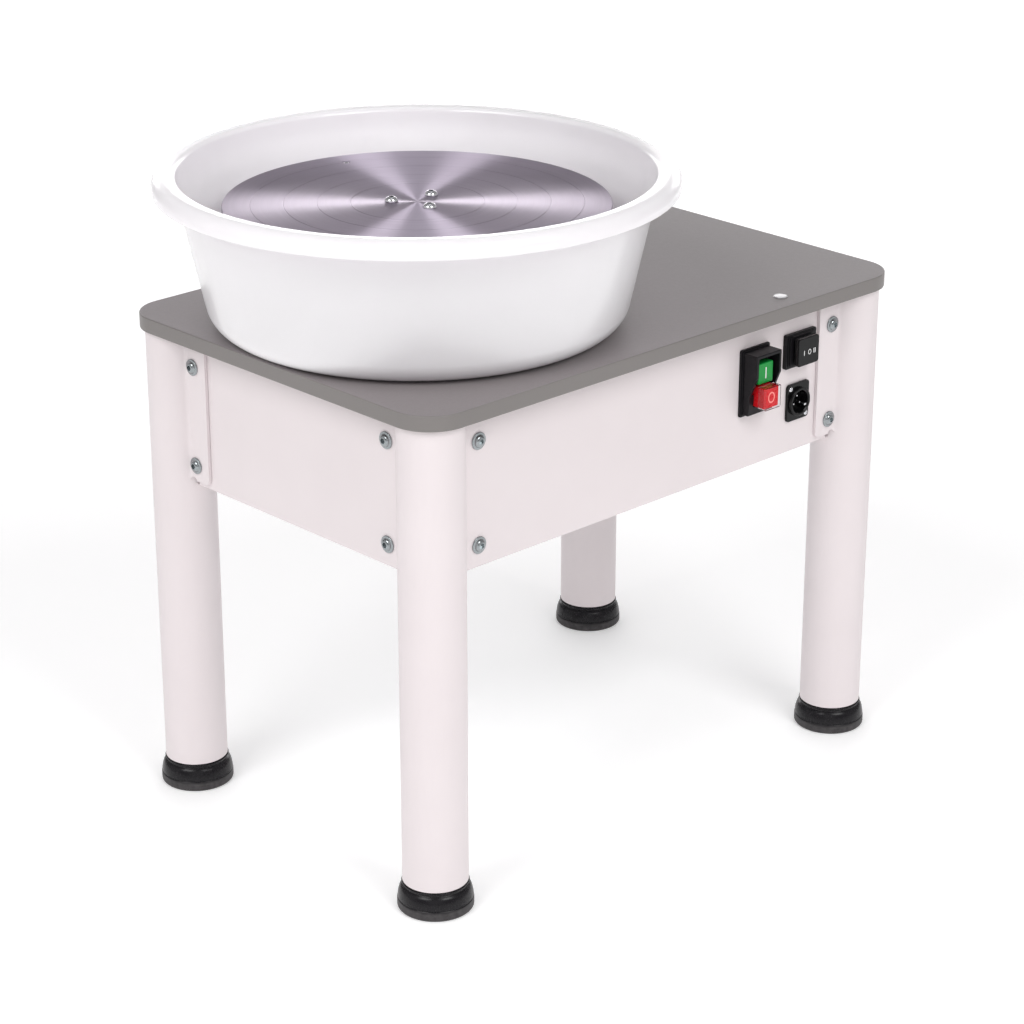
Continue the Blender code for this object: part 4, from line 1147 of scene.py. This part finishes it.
# %% Pedal socket
SOCKET_LOW, SOCKET_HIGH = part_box("pedal_socket")
MOUTH_R, BORE_R, MOUTH_DEPTH, BORE_FLOOR = 0.0118, 0.0092, 0.0052, -0.0045
socket_size = (SOCKET_HIGH.x - SOCKET_LOW.x, SOCKET_HIGH.z - SOCKET_LOW.z)
socket = on_panel("pedal_socket_shell", SOCKET, socket_size, (0.0003, 0.0024), 0.0030, 0.0005)
socket_centre = (SOCKET.x, SWITCH_FACE_Y, SOCKET.z)
shell = [(BORE_R, 0.0240), (MOUTH_R - 0.0004, 0.0240), (MOUTH_R - 0.0004, 0.0)]
shell += [(MOUTH_R, -0.0005)] + arc((MOUTH_R - 0.0008, -MOUTH_DEPTH + 0.0008), 0.0008, 0, -90, 5)
shell += [(BORE_R + 0.0006, -MOUTH_DEPTH), (BORE_R, -MOUTH_DEPTH + 0.0006), (BORE_R, 0.0240)]
shell = [(radius, -depth) for radius, depth in shell]
mouth = turned("mouth", shell, steps=64, tidy=False)
facing(mouth, socket_centre, OUTWARD["right"])
combine(socket, rod("mouth_hole", socket_centre, BORE_R + 0.0008, 0.02, "Y", 64))
combine(socket, mouth, "UNION")
step_depth = -BORE_FLOOR - 0.0012
insert_r = BORE_R + 0.0005
insert = [(0, -BORE_FLOOR), (0.0060, -BORE_FLOOR), (0.0064, step_depth), (insert_r, step_depth),
          (insert_r, 0.0235), (0, 0.0235)]
insert = [(radius, -depth) for radius, depth in insert]
disc = facing(turned("socket_insert", insert, steps=64), socket_centre, OUTWARD["right"])
combine(socket, disc, "UNION")
stand_for(smooth(socket, 30), "table", "black_plastic", GLOSS_BLACK, "pedal_socket")

# %% Pins, latch and screws of the pedal socket
PIN_CIRCLE = 0.0042
pin_profile = [(0, 0.0062), (0.0006, 0.0061), (0.0011, 0.0053), (0.0011, -0.0010), (0, -0.0010)]
for number in range(3):
    turn = math.radians(90 + 120 * number)
    spot = (SOCKET.x + PIN_CIRCLE * math.cos(turn), SWITCH_FACE_Y + 0.0050,
            SOCKET.z + PIN_CIRCLE * math.sin(turn))
    pin = facing(turned(f"socket_pin_{number + 1}", pin_profile, steps=24), spot, OUTWARD["right"])
    stand_for(pin, "table", "bright_steel", STEEL)

latch = block("socket_latch", (SOCKET.x + 0.0052, out_of_panel(0.0046), SOCKET.z - 0.0046),
              (SOCKET.x + 0.0078, out_of_panel(-0.0030), SOCKET.z - 0.0026), 0.0005)
stand_for(latch, "table", "bright_steel", STEEL)

screw_profile = [(0, 0.0011)] + arc((0.0011, 0.0), 0.0011, 90, 20, 5)
screw_profile += [(0.0022, 0), (0.0011, 0), (0.0011, -0.004), (0, -0.004)]
for name, across, up in (("upper", -0.0094, 0.0118), ("lower", 0.0094, -0.0118)):
    screw = small_screw(f"socket_screw_{name}", screw_profile, (0.0011, 0.0002), 0.0006, 0.0020, (20, 110))
    spot = (SOCKET.x + across, out_of_panel(0.0023), SOCKET.z + up)
    stand_for(facing(screw, spot, OUTWARD["right"]), "table", "bright_steel", STEEL)

# %% [markdown]
# ## The mains inlet
#
# At the back is a standard inlet for a mains lead: a plate with two screws, and a six-sided recess
# with three flat pins.

# %% Mains inlet
INLET_LOW, INLET_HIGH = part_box("power_inlet")
INLET_FLOOR = 0.0150


def inlet_outline(half_width, low, high, cut):
    """The recess, with its two upper corners cut off. Width runs along Y."""
    return [(-half_width, low), (half_width, low), (half_width, high - cut), (half_width - cut, high),
            (cut - half_width, high), (-half_width, high - cut)]


inlet = block("mains_inlet", (REAR_X + 0.0003, INLET_LOW.y, INLET_LOW.z), INLET_HIGH)
round_edges(inlet, along(0), 0.0060, 6)
round_edges(inlet, lambda edge: all(abs(v.co.x - INLET_HIGH.x) < 1e-6 for v in edge.verts), 0.0006, 3)
combine(inlet, block("shell", (INLET_LOW.x, INLET.y - 0.0136, INLET.z - 0.0101),
                     (REAR_X + 0.0010, INLET.y + 0.0136, INLET.z + 0.0101)), "UNION")
recess = prism("recess", inlet_outline(0.0120, -0.0083, 0.0085, 0.0035), 0, 0.03)
recess.rotation_euler = (math.pi / 2, 0, math.pi / 2)
recess.location = (REAR_X - INLET_FLOOR, INLET.y, INLET.z)
combine(inlet, settle(recess))
stand_for(smooth(inlet, 30), "table", "black_plastic", BLACK, "power_inlet")

for number, (across, up) in enumerate(((-0.0070, -0.0008), (0.0, 0.0030), (0.0070, -0.0008)), 1):
    y, z = INLET.y + across, INLET.z + up
    pin = block(f"inlet_pin_{number}", (REAR_X - INLET_FLOOR - 0.0010, y - 0.0010, z - 0.0020),
                (REAR_X - 0.0030, y + 0.0010, z + 0.0020), 0.0004)
    stand_for(pin, "table", "bright_steel", STEEL)

screw_profile = [(0, 0.0013), (0.0020, 0.0011), (0.0030, 0.0), (0.0015, 0.0), (0.0015, -0.0025), (0, -0.0025)]
for name, across, turn in (("left", 0.0190, 35), ("right", -0.0190, -10)):
    screw = small_screw(f"inlet_screw_{name}", screw_profile, (0.0024, 0.0003), 0.0007, 0.0030, (turn,))
    spot = (INLET_HIGH.x - 0.0001, INLET.y + across, INLET.z)
    stand_for(facing(screw, spot, OUTWARD["rear"]), "table", "bright_steel", STEEL)

# %% [markdown]
# ## What the frame already has right
#
# The works under the table are bearings, shafts, pulleys, a motor with its bracket, and the drive's
# tray and board. Their plain solids already have the right shape, so they stay and only get a
# finish.

# %% Finishes for the plain nodes that stay
KEPT = {
    "bottom_plate": SHEET, "hub": CASTING, "spindle": STEEL, "upper_bearing": STEEL, "lower_bearing": STEEL,
    "bearing_housing": CASTING, "driven_pulley": CASTING, "drive_belt": RUBBER, "motor_pulley": CASTING,
    "motor_shaft": STEEL, "motor": ENAMEL, "motor_bracket": SHEET, "controller_tray": SHEET,
    "controller_board": SOLDER_MASK,
}
for node, finish in KEPT.items():
    thing = bpy.data.objects[node]
    for place in range(len(thing.material_slots)):
        thing.material_slots[place].material = finish.material
print(len(KEPT), "plain nodes keep their shape")

# %% [markdown]
# ## Floor and light
#
# The wheel stands on a wide, nearly white floor that fills the whole view and glows a little, as a
# lit studio table does. Two soft lamps in front and above model the forms, low ones at the front
# and the sides open the shadows, and a wide one low behind the wheel lights the far edges. A weak
# strip hangs overhead. Bare metal shows what it reflects, so the places of these lamps also draw
# the fans on the head, and there is deliberately nothing bright above its two sides.

# %% Floor
bpy.ops.mesh.primitive_plane_add(size=40, location=(TABLE.x, TABLE.y, 0))
studio_floor = bpy.context.object
studio_floor.name = "studio_floor"
settle(studio_floor)
FLOOR = Finish("pale_floor", (0.92, 0.92, 0.92), 0.75, Emission_Color=(1, 1, 1, 1), Emission_Strength=0.28)
studio_floor.data.materials.append(FLOOR.material)

# %% Lamps
AWAY = Vector((0.6914, 0.7225, 0))             # level direction from the camera to the wheel
ACROSS = Vector((0.7225, -0.6914, 0))


def lamp(name, right, away, height, size, power, colour=(1, 1, 1), aim=(0, 0, 0.40)):
    """A soft rectangular lamp, placed from the wheel in the camera's own directions."""
    spot = ACROSS * right + AWAY * away + Vector((0, 0, height))
    bpy.ops.object.light_add(type="AREA", location=spot)
    light = bpy.context.object
    light.name = name
    light.data.shape = "RECTANGLE"
    light.data.size, light.data.size_y = size
    light.data.energy = power
    light.data.color = colour
    light.rotation_euler = (Vector(aim) - spot).to_track_quat("-Z", "Y").to_euler()
    print(f"{name}: {power} W, {size[0]} by {size[1]} m, {spot.length:.1f} m away")


lamp("overhead_strip", 0.0, 0.5, 2.5, (0.6, 3.2), 3, (0.94, 0.97, 1.0))
lamp("front_right_high", 1.5, -1.8, 2.45, (1.4, 1.4), 36)
lamp("front_left_high", -1.5, -1.8, 2.45, (1.4, 1.4), 34)
lamp("front_softbox", 0.0, -3.2, 1.2, (2.6, 1.8), 7)
lamp("back_low", 0.0, 3.2, 0.9, (4.0, 1.0), 42, (1.0, 0.98, 0.99))
lamp("left_low", -3.0, -0.6, 1.2, (2.4, 2.0), 5)
lamp("right_low", 3.0, -0.4, 1.2, (2.4, 2.0), 3)

# %% World and view
world = bpy.data.worlds.new("studio_air")
world.use_nodes = True
background = world.node_tree.nodes["Background"]
background.inputs["Color"].default_value = (1.0, 0.99, 1.0, 1)
background.inputs["Strength"].default_value = 0.33
bpy.context.scene.world = world
bpy.context.scene.view_settings.view_transform = "Standard"
